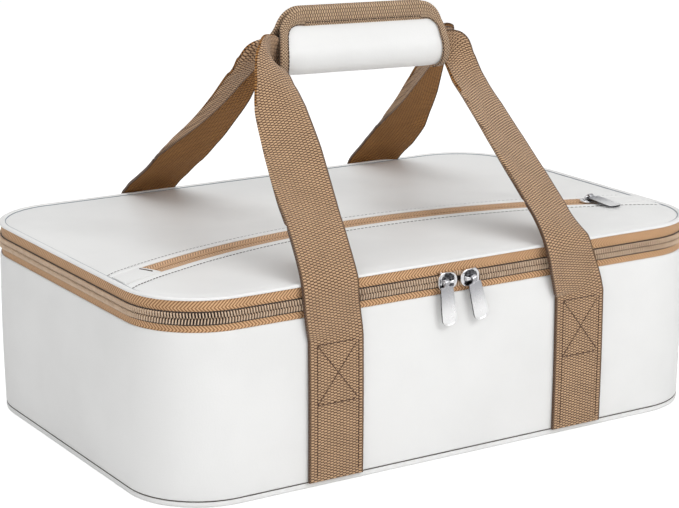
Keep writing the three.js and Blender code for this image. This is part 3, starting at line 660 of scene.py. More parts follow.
def make_lining():
    finish = Finish("Lining", 0.3, metallic=0.35, specular=0.5)
    where = finish.where()
    cloud = finish.noise(where, 9.0, 4.0)
    finish.colour(finish.mix(cloud, (0.60, 0.62, 0.64), (0.46, 0.48, 0.50)))
    creases = finish.noise(where, 38.0, 5.0, 0.62)
    first = finish.bump(creases, 0.0005, 0.3)
    finish.bump(finish.noise(where, 900.0, 1.0), 0.00005, 0.4, first)
    finish.rough(finish.ramp(cloud, 0.3, 0.7, 0.24, 0.36))
    return finish.material


def make_plain(name, pale, shade, roughness, scale, depth):
    finish = Finish(name, roughness, specular=0.3)
    where = finish.where()
    cells = finish.noise(where, scale, 3.0)
    finish.colour(finish.mix(cells, pale, shade))
    finish.bump(cells, depth, 0.8)
    return finish.material


def make_chrome():
    finish = Finish("Plated metal", 0.12, metallic=1.0)
    smudge = finish.noise(finish.where(), 120.0, 4.0)
    finish.colour(finish.mix(smudge, (0.86, 0.86, 0.87), (0.72, 0.72, 0.74)))
    finish.rough(finish.ramp(smudge, 0.35, 0.7, 0.08, 0.2))
    return finish.material


# Near-black metal: a painted dark reflection on chrome and satin parts.
def make_painted_dark_reflection():
    finish = Finish("Painted dark reflection", 0.2, metallic=1.0)
    fleck = finish.noise(finish.where(), 500.0, 3.0)
    finish.colour(finish.mix(finish.ramp(fleck, 0.45, 0.6), (0.05, 0.05, 0.055), (0.16, 0.16, 0.17)))
    return finish.material


def make_satin_painted_light():
    """Brushed plate of the pulls, with painted shade to the top and a painted highlight at its tip: its UV map
    runs down the pull.
    """
    finish = Finish("Satin metal with painted shade and highlight", 0.3, metallic=1.0)
    brush = finish.noise(finish.where(), 300.0, 2.0)
    down = finish.ramp(finish.split(finish.where("UV"))[0], 0.004, PULL_TIP - 0.006)
    upper = finish.mix(brush, (0.50, 0.50, 0.52), (0.42, 0.42, 0.44))
    # Painted light: grey shade towards the top of the pull, and a near-white painted highlight at its tip.
    finish.colour(finish.mix(down, upper, (0.95, 0.95, 0.95)))
    finish.rough(finish.ramp(brush, 0.3, 0.7, 0.26, 0.36))
    return finish.material


# Near-black painted shade: the groove of the base seam, and the gaps behind the zip's teeth.
PAINTED_SHADE = make_thread("Seam shade", (0.07, 0.05, 0.04), (0.03, 0.022, 0.018))
# Blue-grey painted shade for the groove of the rim's seam.
COOL_SHADE = make_thread("Painted shade in the rim seam", (0.30, 0.34, 0.38), (0.20, 0.23, 0.27))
LEATHER = make_leather()
WEBBING = make_webbing("Webbing", (0.60, 0.385, 0.225), (0.095, 0.046, 0.021), 0.0023)
# The same webbing, darker and warmer: painted shade for the straps' inner faces.
SHADED_UNDERSIDE = make_webbing("Webbing underside in painted shade", (0.42, 0.20, 0.06), (0.08, 0.03, 0.008), 0.0023, sheen=0.0)
BINDING = make_webbing("Binding", (0.60, 0.42, 0.27), (0.11, 0.06, 0.03), 0.0019, border=1.0)
TAPE = make_tape()
COIL = make_coil()
SLOT_THREAD = make_thread("Grey thread", (0.13, 0.12, 0.115), (0.07, 0.065, 0.06))
TAN_THREAD = make_thread("Tan thread", (0.115, 0.052, 0.025), (0.055, 0.024, 0.012))
DARK_THREAD = make_thread("Dark thread", (0.10, 0.055, 0.035), (0.05, 0.028, 0.018))
LINING = make_lining()
FOAM = make_plain("Foam", (0.80, 0.78, 0.74), (0.66, 0.64, 0.60), 0.95, 900.0, 0.0003)
BOARD = make_plain("Board", (0.13, 0.12, 0.11), (0.09, 0.085, 0.08), 0.8, 300.0, 0.0002)
HOOKS = make_plain("Hook and loop", (0.66, 0.65, 0.62), (0.45, 0.44, 0.42), 1.0, 1400.0, 0.0008)
CHROME = make_chrome()
SATIN_PAINTED_LIGHT = make_satin_painted_light()
PAINTED_DARK_REFLECTION = make_painted_dark_reflection()


def paint(piece, material):
    if material:
        piece.data.materials.clear()
        piece.data.materials.append(material)


def dress(piece, material, body, slot, *nodes):
    """Gives a finished piece its material and its body, and hides the CAD nodes that it stands for; its slot is
    not used.
    """
    paint(piece, material)
    settle(piece)
    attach(piece, body)
    if nodes:
        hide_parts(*nodes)
    return piece


def dress_bending(piece, material, bodies, slot, start, end, *nodes):
    paint(piece, material)
    settle(piece)
    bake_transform(piece)
    if nodes:
        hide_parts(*nodes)
    return piece


def keep_node(name, material):
    """A CAD node that stays as it is, with a better finish."""
    paint(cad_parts[name], material)


# Bag

def wall_puff(height):
    """How far the soft wall swells at a height."""
    return 0.0006 * math.sin(math.pi * rise(height - WALL_FOOT, WALL_TOP - WALL_FOOT))


def make_hoop(name, profile, bend, runs, material, body, slot, *nodes, capped=False, opened=False):
    """A skin round the bag that needs only its profile; an opened one leaves room for the hinge strip."""
    hoop = loft_outline(name, profile, bend, runs, capped)
    if opened:
        keep_outside_hinge(hoop)
    smooth(hoop, 50)
    dress(hoop, material, body, slot, *nodes)


def make_wall():
    rows, low, height = 18, 5.4, 102.6
    levels = [low + height * row / rows for row in range(rows + 1)]
    swollen = [(0.15 - 1000 * wall_puff(level / 1000), level) for level in levels]
    inner = [(1.1, 109.45), (1.2, 108.9), (1.2, 4.3)]
    profile = [(0.75, 4.1), (0.3, 4.6), *swollen, (0.3, 108.9), (0.62, 109.4), *inner]
    wall = loft_outline("bag_wall", profile, 16, 30)

    def push(x, y, z):
        flat = rise(CORNER * 0.6 + FLAT_Y / 2 - abs(y), 0.04) if abs(x) > FLAT_X / 2 else 1
        strap = rise(abs(abs(x) - STRAP_X), 0.03)
        return 0.0009 * soft(x, y, z, 0.085, 3.1) * math.sin(math.pi * rise(z - 0.006, 0.1)) * flat * strap
    sag(wall, push)
    smooth(wall, 60)
    dress(wall, LEATHER, "bag", "leather", "wall_cover")


def make_base():
    profile = [(3.0, 0.0), (1.1, 0.02), (0.45, 0.4), (0.15, 1.2), (0.1, 2.4), (0.3, 3.3), (0.75, 3.78),
               (1.35, 3.8), (1.4, 3.3), (1.4, 1.5)]
    make_hoop("base_edge", profile, 14, 6, LEATHER, "bag", "leather", "base_tray", capped=True)


def make_base_seam_shade():
    """Painted shade: the dark line in the groove where the wall is sewn to the base edge."""
    profile = [(1.3, 3.72), (0.28, 3.78), (0.2, 4.0), (0.28, 4.25), (1.3, 4.3)]
    make_hoop("base_seam_shade", profile, 14, 10, PAINTED_SHADE, "bag", "leather")


def make_liner():
    profile = [(30.0, 10.9), (12.0, 10.7), (9.3, 11.6), (9.02, 14.0)]
    profile += [(9.0 + 0.3 * math.sin(i * 1.3), 14.0 + 92.0 * i / 10) for i in range(1, 11)]
    profile += [(8.7, 108.6), (7.6, 109.6), (4.5, 109.75), (2.7, 109.5), (2.65, 109.25), (8.38, 109.15),
                (8.4, 12.0), (12.0, 10.05), (30.0, 10.02)]
    make_hoop("tub_lining", profile, 12, 24, LINING, "bag", "lining", "tub_liner", capped=True)


def make_lid_liner():
    profile = [(40.0, 117.3), (12.0, 117.2), (7.2, 117.45), (5.5, 118.3), (5.05, 120.2), (5.02, 123.6),
               (5.6, 123.65), (5.62, 118.8), (12.0, 118.0), (40.0, 118.0)]
    make_hoop("lid_lining", profile, 12, 24, LINING, "lid", "lining", "lid_liner", capped=True)


def make_pocket_lining():
    profile = [(40.0, 124.02), (12.0, 124.02), (5.4, 124.05), (5.05, 124.3), (4.6, 124.55), (2.65, 124.65),
               (2.62, 125.1), (5.0, 125.15), (5.5, 124.9), (5.7, 124.6), (12.0, 124.58), (40.0, 124.58)]
    make_hoop("pocket_cloth", profile, 12, 24, LINING, "lid", "lining", "pocket_lining", capped=True)


def make_tapes():
    """The two tapes of the main zip, and the cords that lie behind its teeth, near-black as painted shade
    between the turns.
    """
    lower = [(1.5, 101.6), (1.5, 106.0), (1.35, 109.6), (1.3, 112.4), (1.5, 115.4), (1.75, 116.6),
             (2.0, 116.95), (2.25, 116.6), (2.3, 113.0), (2.3, 101.6)]
    upper = [(1.75, 119.6), (1.5, 121.2), (1.3, 124.2), (1.3, 127.0), (1.45, 128.8), (1.5, 129.3), (2.3, 129.3),
             (2.3, 121.2), (2.2, 119.7), (1.95, 119.45)]
    make_hoop("lower_tape", lower, 12, 20, TAPE, "bag", "tape", "lower_zip_tape", opened=True)
    make_hoop("upper_tape", upper, 12, 20, TAPE, "lid", "tape", "upper_zip_tape", opened=True)
    # The coils' inner cords, coloured as painted shade that shows between the turns and along the coils' edges.
    for name, body, low, high in (("lower_cord_shade", "bag", 113.7, 118.1), ("upper_cord_shade", "lid", 118.3, 122.2)):
        cord_shade = [(1.12, low), (1.12, high), (1.24, high), (1.24, low)]
        make_hoop(name, cord_shade, 12, 20, PAINTED_SHADE, body, "teeth", opened=True)


def make_rim():
    """The rolled edge of the lid, and the painted shade line in the seam inside it."""
    profile = [(1.15, 128.95), (0.4, 128.96), (0.05, 129.15), (-0.1, 129.5), (0.0, 129.95), (0.3, 130.35),
               (0.8, 130.6), (1.6, 130.75), (2.6, 130.75), (3.4, 130.6), (3.95, 130.3), (4.15, 129.9),
               (4.15, 129.5), (1.5, 129.4), (1.2, 129.3)]
    rim = loft_outline("lid_roll", profile, 14, 28)
    sag(rim, lambda x, y, z: 0.0002 * soft(x, y, z, 0.03, 1.7))
    smooth(rim, 60)
    dress(rim, LEATHER, "lid", "leather", "lid_rim")
    # A thin strip of painted shade in the rim's seam.
    seam = [(4.1, 129.6), (4.1, 130.12), (4.55, 130.12), (4.55, 129.6)]
    make_hoop("rim_seam_shade", seam, 14, 20, COOL_SHADE, "lid", "leather")


def panel_points(u, v, front, back):
    """A point of a lid panel: u from left to right, v from its front edge to its back edge."""
    corner, flat_x, flat_y = CORNER - RIM_IN, FLAT_X / 2, FLAT_Y / 2
    side = 1 if u > 0.5 else -1
    share = abs(2 * u - 1)
    turn_share = 0.24
    if share > 1 - turn_share:
        turn = (share - 1 + turn_share) / turn_share * math.pi / 2
        x, bow = flat_x + corner * math.sin(turn), corner * math.cos(turn)
    else:
        x, bow = flat_x * share / (1 - turn_share), corner
    return side * x, front(x, flat_y + bow) * (1 - v) + back(x, flat_y + bow) * v


def arc_y(x, across):
    return ARC_Y + math.sqrt((ARC + across) ** 2 - x * x)


def lid_lift(x, y, side, dents):
    """How high a lid panel's cloth lies over its flat level: its folded edge, its seam and its soft dents."""
    gap = side * (math.hypot(x, y - ARC_Y) - ARC) - MOUTH
    crest, drop = (0.0008, 0.0) if side > 0 else (0.0005, 0.0005)
    fold = crest * hill(gap - 0.0026, 0.0022) - 0.0004 * hill(gap, 0.0005)
    fold -= drop * rise(MOUTH_END - abs(x), 0.02) * hill(gap, 0.009)
    seam = 0.0005 * hill(gap - MOUTH_SEAM, 0.0012)
    rim_x, rim_y, corner = LENGTH / 2 - RIM_IN, WIDTH / 2 - RIM_IN, CORNER - RIM_IN
    dx, dy = max(0, abs(x) - (rim_x - corner)), max(0, abs(y) - (rim_y - corner))
    rim_gap = corner - math.hypot(dx, dy) if dx or dy else min(rim_x - abs(x), rim_y - abs(y))
    pressed = 0.0008 * (1 - rise(rim_gap, 0.009)) ** 2
    return fold - seam + dents(x, y) * rise(rim_gap, 0.03) * rise(gap, 0.02) - pressed


def rear_dents(x, y):
    """Soft hollows of the unfilled lid, with one slanting crease to the right of the middle."""
    hills = 0.0015 * soft(x, y, 0, 0.11, 5.3) + 0.0003 * soft(x, y, 0, 0.05, 8.1)
    slant = (x - 0.115) * 0.8 + (y - 0.03) * 0.6
    return hills - 0.0012 * hill(slant, 0.014) * hill(y - 0.02, 0.07)


def front_dents(x, y):
    return 0.0010 * soft(x, y, 0, 0.09, 2.2) + 0.0003 * soft(x, y, 0, 0.045, 9.4)


def lid_surface(x, y):
    """The height of the lid panels' top face."""
    side = 1 if math.hypot(x, y - ARC_Y) > ARC else -1
    return CLOTH_TOP + lid_lift(x, y, side, rear_dents if side > 0 else front_dents)


def make_panel(name, front, back, side, node, dents):
    """A stretched cloth of the lid, between the lines front(x, y) and back(x, y)."""
    cloth = grid(name, 150, 84)
    shape_points(cloth, lambda x, y, z: (*panel_points(x, y + 0.5, front, back), CLOTH_TOP))
    shape_points(cloth, lambda x, y, z: (x, y, z + lid_lift(x, y, side, dents)))
    map_cloth(cloth, lambda x, y, z: (x, y))
    thicken(cloth, 0.0011, -1 if looks(cloth, 0, 0, 1) else 1, 60)
    dress(cloth, LEATHER, "lid", "leather", node)
    low, high = points_of(cloth).min(axis=0), points_of(cloth).max(axis=0)


def make_lid_top():
    make_panel("lid_rear_cloth", lambda x, y: arc_y(x, MOUTH), lambda x, y: y, 1, "lid_rear_panel", rear_dents)
    make_panel("lid_pocket_cloth", lambda x, y: -y, lambda x, y: arc_y(x, -MOUTH), -1, "lid_pocket_panel",
               front_dents)


def on_arc(along, across, height):
    angle = along / ARC
    return (ARC + across) * math.sin(angle), ARC_Y + (ARC + across) * math.cos(angle), height


def make_pocket_tapes():
    half, width, edge = 0.194, 0.0139, 0.0072
    for name, side, node in (("pocket_tape_rear", 1, "pocket_rear_tape"),
                             ("pocket_tape_front", -1, "pocket_front_tape")):
        tape = grid(name, 160, 8, 2 * half, width)

        def place(x, y, z):
            across = edge + y
            inner = max(0, 1 - across / 0.0016)
            slope = 0.0003 * side * min(1, across / MOUTH)
            return on_arc(x - half, side * (across + 0.0002), POCKET_TAPE + 0.0008 + slope - 0.0004 * inner)
        shape_points(tape, place)
        thicken(tape, 0.0007, -1 if looks(tape, 0, 0, 1) else 1)
        dress(tape, TAPE, "lid", "tape", node)


def make_tabs():
    """The end tabs of the pocket zip, each from the mouth's end to the rim."""
    width = 2 * MOUTH + 0.0004
    for name, side, node in (("pocket_tab_left", -1, "pocket_left_tab"),
                             ("pocket_tab_right", 1, "pocket_right_tab")):
        tab = grid(name, 22, 12, 1.0, width)

        def place(x, y, z):
            start = MOUTH_END / ARC
            end = math.asin((LENGTH / 2 - RIM_IN - 0.0001) / (ARC + y))
            angle = start + (end - start) * x
            crown = 0.0003 * (1 - (y / 0.0087) ** 2) - 0.0003
            height = LID_TOP + crown - 0.0004 * hill(x, 0.06)
            return side * (ARC + y) * math.sin(angle), ARC_Y + (ARC + y) * math.cos(angle), height
        shape_points(tab, place)
        thicken(tab, 0.0012, -1 if looks(tab, 0, 0, 1) else 1)
        dress(tab, LEATHER, "lid", "leather", node)


def make_hinge_strip():
    width, middle = 0.0188, 0.1192
    strip = grid("hinge_strip", 60, 10, 2 * HINGE_HALF, width)

    def place(x, y, z):
        return HINGE_HALF - x, WIDTH / 2 + 0.0004 * math.cos(y / width * math.pi) - 0.0001, middle + y
    shape_points(strip, place)
    thicken(strip, 0.0011, -1)
    dress_bending(strip, LEATHER, ("bag", "lid"), "leather", (0, 0.139, 0.1102), (0, 0.139, 0.1282),
                  "back_hinge_strip")


# Webbing loops

def spline(points, t):
    """A centripetal curve through the points, from t = 0 at the first to 1 at the last."""
    place = t * (len(points) - 1)
    i = min(int(place), len(points) - 2)
    w = place - i
    p1, p2 = points[i], points[i + 1]
    p0 = points[i - 1] if i > 0 else p1 + p1 - p2
    p3 = points[i + 2] if i + 2 < len(points) else p2 + p2 - p1
    d0, d1, d2 = (max((b - a).length, 1e-6) ** 0.5 for a, b in ((p0, p1), (p1, p2), (p2, p3)))
    t1 = ((p1 - p0) / d0 - (p2 - p0) / (d0 + d1) + (p2 - p1) / d1) * d1
    t2 = ((p2 - p1) / d1 - (p3 - p1) / (d1 + d2) + (p3 - p2) / d2) * d1
    c2, c3 = -3 * p1 + 3 * p2 - 2 * t1 - t2, 2 * p1 - 2 * p2 + t1 + t2
    return p1 + t1 * w + c2 * w * w + c3 * w ** 3


# Each free span from its sewn foot to the grip: its face (-1 front, 1 back), its side, and along it the middle
# of the webbing in mm, the share of its width that lies unfolded, and its turn from straight out in degrees
STRAPS = [
    ("front_left", -1, -1, [
        (-97.0, -141.5, 115.0, 1, 0), (-98.0, -140.6, 131.0, 1, -2), (-95.2, -121.5, 156.5, 1, -4),
        (-92.4, -106.1, 171.3, 0.99, -7), (-88.3, -82.5, 198.1, 0.93, -14), (-86.2, -64.0, 221.6, 0.84, -12),
        (-84.0, -53.0, 237.0, 0.74, 4), (-80.5, -39.5, 250.0, 0.62, 14), (-74.5, -27.5, 252.5, 0.53, 8),
    ]),
    ("front_right", -1, 1, [
        (86.5, -141.5, 115.0, 1, 7), (81.8, -140.4, 131.0, 1, 11), (79.4, -121.2, 151.8, 1, 13),
        (78.2, -102.6, 169.3, 0.98, 12), (77.4, -78.3, 189.8, 0.93, 11), (77.0, -54.4, 208.9, 0.86, 10),
        (76.5, -37.0, 222.4, 0.76, 8), (75.9, -27.0, 234.5, 0.62, 3), (73.5, -24.4, 243.5, 0.53, 0),
    ]),
    ("back_left", 1, -1, [
        (-83.9, 141.7, 107.0, 1, 0), (-80.6, 142.0, 118.0, 1, 0), (-78.2, 142.0, 126.6, 1, 0),
        (-77.1, 134.0, 135.5, 1, 0), (-76.3, 117.0, 146.7, 1, 0), (-75.7, 97.0, 159.9, 1, 0),
        (-74.3, 76.9, 174.8, 0.96, 0), (-72.9, 56.8, 189.7, 0.91, 0), (-72.3, 27.1, 212.9, 0.79, 2),
        (-72.6, 4.5, 234.8, 0.68, 0), (-73.6, -6.5, 244.0, 0.58, 0), (-72.0, -13.0, 247.5, 0.52, 0),
    ]),
    ("back_right", 1, 1, [
        (104.6, 141.7, 107.0, 1, 0), (109.4, 142.0, 118.0, 1, 0), (112.8, 142.0, 126.8, 1, 0),
        (114.6, 134.0, 136.4, 1, 5), (113.9, 117.0, 149.4, 1, 11), (110.9, 97.0, 164.8, 1, 13),
        (106.6, 80.6, 178.7, 0.97, 10), (102.0, 64.2, 192.7, 0.93, 7), (93.0, 36.7, 217.9, 0.81, 1),
        (84.4, 11.0, 237.5, 0.68, 0), (78.5, -5.8, 245.0, 0.58, 0), (73.5, -13.4, 247.4, 0.52, 0),
    ]),
]


def foot_x(face, side):
    """Where a sewn foot's middle lies; both at the back sit a little to the right, as their spans do."""
    return side * STRAP_X + (BACK_SHIFT if face > 0 else 0)


def strap_frames(face, side, rows):
    """Stations of a free span: centre, direction across, direction out, unfolded share, length so far."""
    steps = 150
    foot = Vector((foot_x(face, side), face * (STRAP_WALL + STRAP_THICK / 2), FOOT_TOP))
    end = Vector((side * (GRIP_HALF + 0.0003), face * CORE_OUT + GRIP_Y,
                  GRIP_Z + CORE_LIFT + STRAP_WIDTH / 4 - TILT * side * GRIP_HALF))
    points = [foot, *(Vector(row[:3]) / 1000 for row in rows), end]
    shares = [1, *(row[3] for row in rows), 0.5]
    turns = [0, *(math.radians(row[4]) for row in rows), 0]
    stations, length, last = [], 0.0, foot
    for i in range(steps + 1):
        t = i / steps
        place = t * (len(points) - 1)
        row = min(int(place), len(rows))
        share = shares[row] + (shares[row + 1] - shares[row]) * (place - row)
        turn = turns[row] + (turns[row + 1] - turns[row]) * (place - row)
        centre = spline(points, t)
        tangent = (spline(points, min(1, t + 0.004)) - spline(points, max(0, t - 0.004))).normalized()
        tangent = tangent.lerp(Vector((0, 0, 1)), 1 - min(1, t / 0.04)).normalized()
        tangent = tangent.lerp(Vector((-side, 0, 0)), max(0, (t - 0.95) / 0.05)).normalized()
        out = Vector((math.sin(turn), face * math.cos(turn), 0))
        out = (out - tangent * out.dot(tangent)).normalized()
        across = out.cross(tangent).normalized()
        length += (centre - last).length
        last = centre
        stations.append((centre, across, out, share, length))
    return stations


def fold_over(q, share):
    """How far across and in the cloth at q lies, once the webbing's upper edge is folded down behind it."""
    over = STRAP_WIDTH * (1 - share)
    crease = STRAP_WIDTH / 2 - over
    folded = min(1, over / (STRAP_WIDTH / 2))
    layer = STRAP_THICK / 2 * folded * folded * (3 - 2 * folded)
    if q <= crease:
        near = math.exp(-(crease - q) / 0.0012) * min(1, over / 0.001)
        return q + over / 2, -layer * (1 - near)
    past = q - crease
    opening = math.radians(3 + 15 * (1 - folded))
    depth = (STRAP_THICK + layer) * (1 - math.exp(-past / 0.0009)) - layer
    aside = crease + over / 2 - past * math.cos(opening)
    return aside, depth + past * math.sin(opening) * min(1, 3 * (1 - folded))


def column_across(y, upper, share):
    """Where a column of the webbing lies across it: they gather at the crease, so that the fold stays even."""
    over = STRAP_WIDTH * (1 - share)
    gather = min(1, over / 0.0016)
    split, crease, power = 1 - 0.4375 * gather, STRAP_WIDTH / 2 - over, 1 + 0.6 * gather
    u = 0.5 + y * upper
    if u <= split + 1e-9:
        return upper * (crease - (crease + STRAP_WIDTH / 2) * max(0, 1 - u / split) ** power)
    return upper * (crease + over * ((u - split) / (1 - split)) ** power)


def ease_weave(flat, places, rows, columns, first):
    """Lets the weave open outside a bend: each column's map goes part of the way to its true length."""
    part = 0.6
    for column in range(columns + 1):
        start = first + column * (rows + 1)
        grown = 0.0
        for here in range(start + 1, start + rows - first + 1):
            grown += (places[here] - places[here - 1]).length
            u, v = flat[here]
            flat[here] = (u + part * (flat[start][0] + grown - u), v)


def make_strap(name, face, side, path):
    """One length of webbing, from the base edge up the wall and along its free span to the grip."""
    stations = strap_frames(face, side, path)
    foot_rows, columns = 60, 32
    rows = foot_rows + len(stations)
    cloth = grid(name + "_webbing", rows, columns)
    upper = -face
    flat, places = [], []
    for x, y, z in points_of(cloth):
        row = int(round(x * rows))
        if row < foot_rows:
            height, q = WALL_FOOT + FOOT_LENGTH * row / foot_rows, y * STRAP_WIDTH
            surface = STRAP_WALL + STRAP_THICK / 2 + wall_puff(height)
            places.append(Vector((foot_x(face, side) + q * face, face * surface, height)))
            flat.append((height - WALL_FOOT, q))
            continue
        centre, across, out, share, length = stations[min(row - foot_rows, len(stations) - 1)]
        q = column_across(y, upper, share)
        aside, inward = fold_over(q * upper, share)
        places.append(centre + across * (aside * upper) - out * inward)
        bow = (0.020 if face < 0 else 0.006) * max(0, 1 - share)
        flat.append((FOOT_LENGTH + length + bow * (2 * q / STRAP_WIDTH) ** 2, q))
    put_points(cloth, places)
    ease_weave(flat, places, rows, columns, foot_rows)
    put_map(cloth, flat)
    if cloth.data.polygons[0].normal.y * face < 0:
        turn_over(cloth)
    cloth.data.materials.append(WEBBING)
    # The solidified inner shell gets the webbing copy in painted shade.
    cloth.data.materials.append(SHADED_UNDERSIDE)
    modify(cloth, "SOLIDIFY", thickness=STRAP_THICK * 0.94, offset=0, material_offset=1)
    soften(cloth, 0.0005, 2, 60)
    smooth(cloth, 55)
    handle = "front_handle" if face < 0 else "back_handle"
    dress_bending(cloth, None, ("bag", handle), "webbing",
                  (0, face * 0.141, 0.0955), (0, face * 0.141, 0.128),
                  name + "_strap_foot", name + "_strap")


def make_straps():
    for strap in STRAPS:
        make_strap(*strap)


# Padded wrap. Its section is walked up from the fold, first round the roll, then up a slope to the neck.

NECK_HALF = 0.00485
ROLL_START = -math.pi / 2
NECK_REACH = math.hypot(NECK_HALF, NECK - GRIP_ROUND)
ROLL_END = math.atan2(NECK - GRIP_ROUND, NECK_HALF) - math.acos(GRIP_ROUND / NECK_REACH)
MID = 0.0017
MID_ROUND = GRIP_ROUND - MID
ROLL_WALK = MID_ROUND * (ROLL_END - ROLL_START)
ROLL_TOP = (MID_ROUND * math.cos(ROLL_END), GRIP_ROUND + MID_ROUND * math.sin(ROLL_END))
NECK_FOOT = (NECK_HALF - MID, NECK)
SLOPE_WALK = math.hypot(NECK_FOOT[0] - ROLL_TOP[0], NECK_FOOT[1] - ROLL_TOP[1])
WRAP_WALK = ROLL_WALK + SLOPE_WALK + GRIP_HEIGHT - NECK
WRAP_CORNER = 0.018


def wrap_section(walk):
    """How far out and up from the fold the section is after a walk along it, and the angle that it faces."""
    if walk <= ROLL_WALK:
        angle = ROLL_START + walk / MID_ROUND
        return MID_ROUND * math.cos(angle), GRIP_ROUND + MID_ROUND * math.sin(angle), angle
    if walk <= ROLL_WALK + SLOPE_WALK:
        share = (walk - ROLL_WALK) / SLOPE_WALK
        ease = share * share * (3 - 2 * share)
        out = ROLL_TOP[0] + (NECK_FOOT[0] - ROLL_TOP[0]) * share
        return out, ROLL_TOP[1] + (NECK_FOOT[1] - ROLL_TOP[1]) * share, ROLL_END * (1 - ease)
    return NECK_FOOT[0], NECK_FOOT[1] + walk - ROLL_WALK - SLOPE_WALK, 0.0


def on_wrap(x, walk, lift, face):
    """A point lift metres off the wrap's middle layer; the left end of the roll is drawn in a little."""
    out, rise, angle = wrap_section(walk)
    y = face * (out + 0.00015 + lift * math.cos(angle)) + GRIP_Y
    reach = 0.6 * max(0, out - NECK_HALF) * max(0, -x / GRIP_HALF) ** 2
    return x - reach, y, GRIP_Z + rise + lift * math.sin(angle) - TILT * x


def wrap_half(walk):
    """Half the wrap's length at a walk, less where its top corners are round."""
    above = max(0.0, walk - (WRAP_WALK - WRAP_CORNER))
    return GRIP_HALF - WRAP_CORNER + math.sqrt(max(0.0, WRAP_CORNER ** 2 - above ** 2))


def inflate(piece, columns, held, most):
    """Lets the filling press out a cloth that is held along its border, by no more than most metres."""
    frames, pressure = 20, 0.9
    before = points_of(piece)
    pins = piece.vertex_groups.new(name="held")
    pins.add([i for i in range(len(before)) if held(i % (columns + 1), i // (columns + 1))], 1.0, "REPLACE")
    choose(piece)
    cloth = piece.modifiers.new("Cloth", "CLOTH")
    cloth.settings.vertex_group_mass = "held"
    cloth.settings.use_pressure = True
    cloth.settings.uniform_pressure_force = pressure
    cloth.settings.effector_weights.gravity = 0
    cloth.settings.mass = 0.2
    cloth.collision_settings.use_collision = False
    cloth.point_cache.frame_end = frames
    for step in range(1, frames + 1):
        bpy.context.scene.frame_set(step)
    bpy.ops.object.modifier_apply(modifier=cloth.name)
    bpy.context.scene.frame_set(1)
    moved = points_of(piece) - before
    far = np.linalg.norm(moved, axis=1, keepdims=True)
    put_points(piece, before + moved * np.minimum(1, most / np.maximum(far, 1e-9)))
    piece.vertex_groups.clear()


def face_away(piece, face):
    """Turns a cloth so that it faces the front for -1 and the back for 1."""
    if not looks(piece, 0, face, 0):
        turn_over(piece)


def make_wrap(name, face, body, node):
    """One half of the padded wrap, flat along its border and round over its filling."""
    columns, rows = 110, 70
    cloth = grid(name, columns, rows)

    def place(x, y, z):
        walk = (y + 0.5) * WRAP_WALK
        half = wrap_half(walk)
        side = (2 * x - 1) * half
        puff = rise(min(half - abs(side), WRAP_WALK - walk) - 0.0062, 0.010)
        puff = puff * (2 - puff) * min(1, walk / 0.011)
        wave = 0.0004 * soft(side, walk, 0, 0.02, 4.4 + face)
        return on_wrap(side, walk, 0.0005 + 0.0011 * puff + wave * puff, face)

    def held(column, row):
        return min(column, columns - column) < 10 or row > 54 or row < 14
    shape_points(cloth, place)
    face_away(cloth, face)
    inflate(cloth, columns, held, 0.0012)
    thicken(cloth, 0.0011, -1, 60)
    dress(cloth, LEATHER, body, "leather", node)


def make_grip_pads():
    """The foam that fills each half of the roll."""
    length, low, high = 0.1, 0.0035, 0.0215
    for half, face, body in (("front", -1, "front_handle"), ("flap", 1, "grip_flap")):
        pad = grid(half + "_filling", 60, 24)

        def lay(x, y, z):
            round_off = 0.0010 * math.sin(math.pi * (y + 0.5)) ** 0.5 * math.sin(math.pi * x) ** 0.3
            return on_wrap(length * (x - 0.5), low + (y + 0.5) * (high - low), -0.0046 + round_off, face)
        shape_points(pad, lay)
        face_away(pad, face)
        modify(pad, "SOLIDIFY", thickness=0.0022, offset=1)
        soften(pad, 0.0006, 2, 50)
        smooth(pad, 60)
        dress(pad, FOAM, body, "foam", half + "_grip_pad")


def make_patches():
    """The hook and loop patches that close the wrap's top edge."""
    middle = GRIP_Z + GRIP_HEIGHT - 0.006
    for name, face, body, node in (("hook_tape", -1, "front_handle", "hook_patch"),
                                   ("loop_tape", 1, "grip_flap", "loop_patch")):
        patch = plate(name, 0.097, 0.0109)
        open_mesh(patch)
        round_corners(0.002, 4)
        bpy.ops.mesh.select_all(action="SELECT")
        draw_out(0, 0, 0.0011)
        close_mesh()
        soften(face_outward(patch), 0.0002, 2, 50)
        shape_points(patch, lambda x, y, z: (x, GRIP_Y + face * (0.0002 + z), middle + y - TILT * x))
        smooth(face_outward(patch), 50)
        dress(patch, HOOKS, body, "patch", node)


def border_share(top, walk, x):
    """How much of its full width the binding shows: less at the ends, and more in the round lower corner."""
    reach = max(0, 1 - walk / 0.011) if x > 0 else 0
    corner = 1.05 * (1 - math.sqrt(1 - reach * reach))
    return (0.6 if x > 0 else 0.48) * (1 - top * top) + 1.16 * top * top + corner


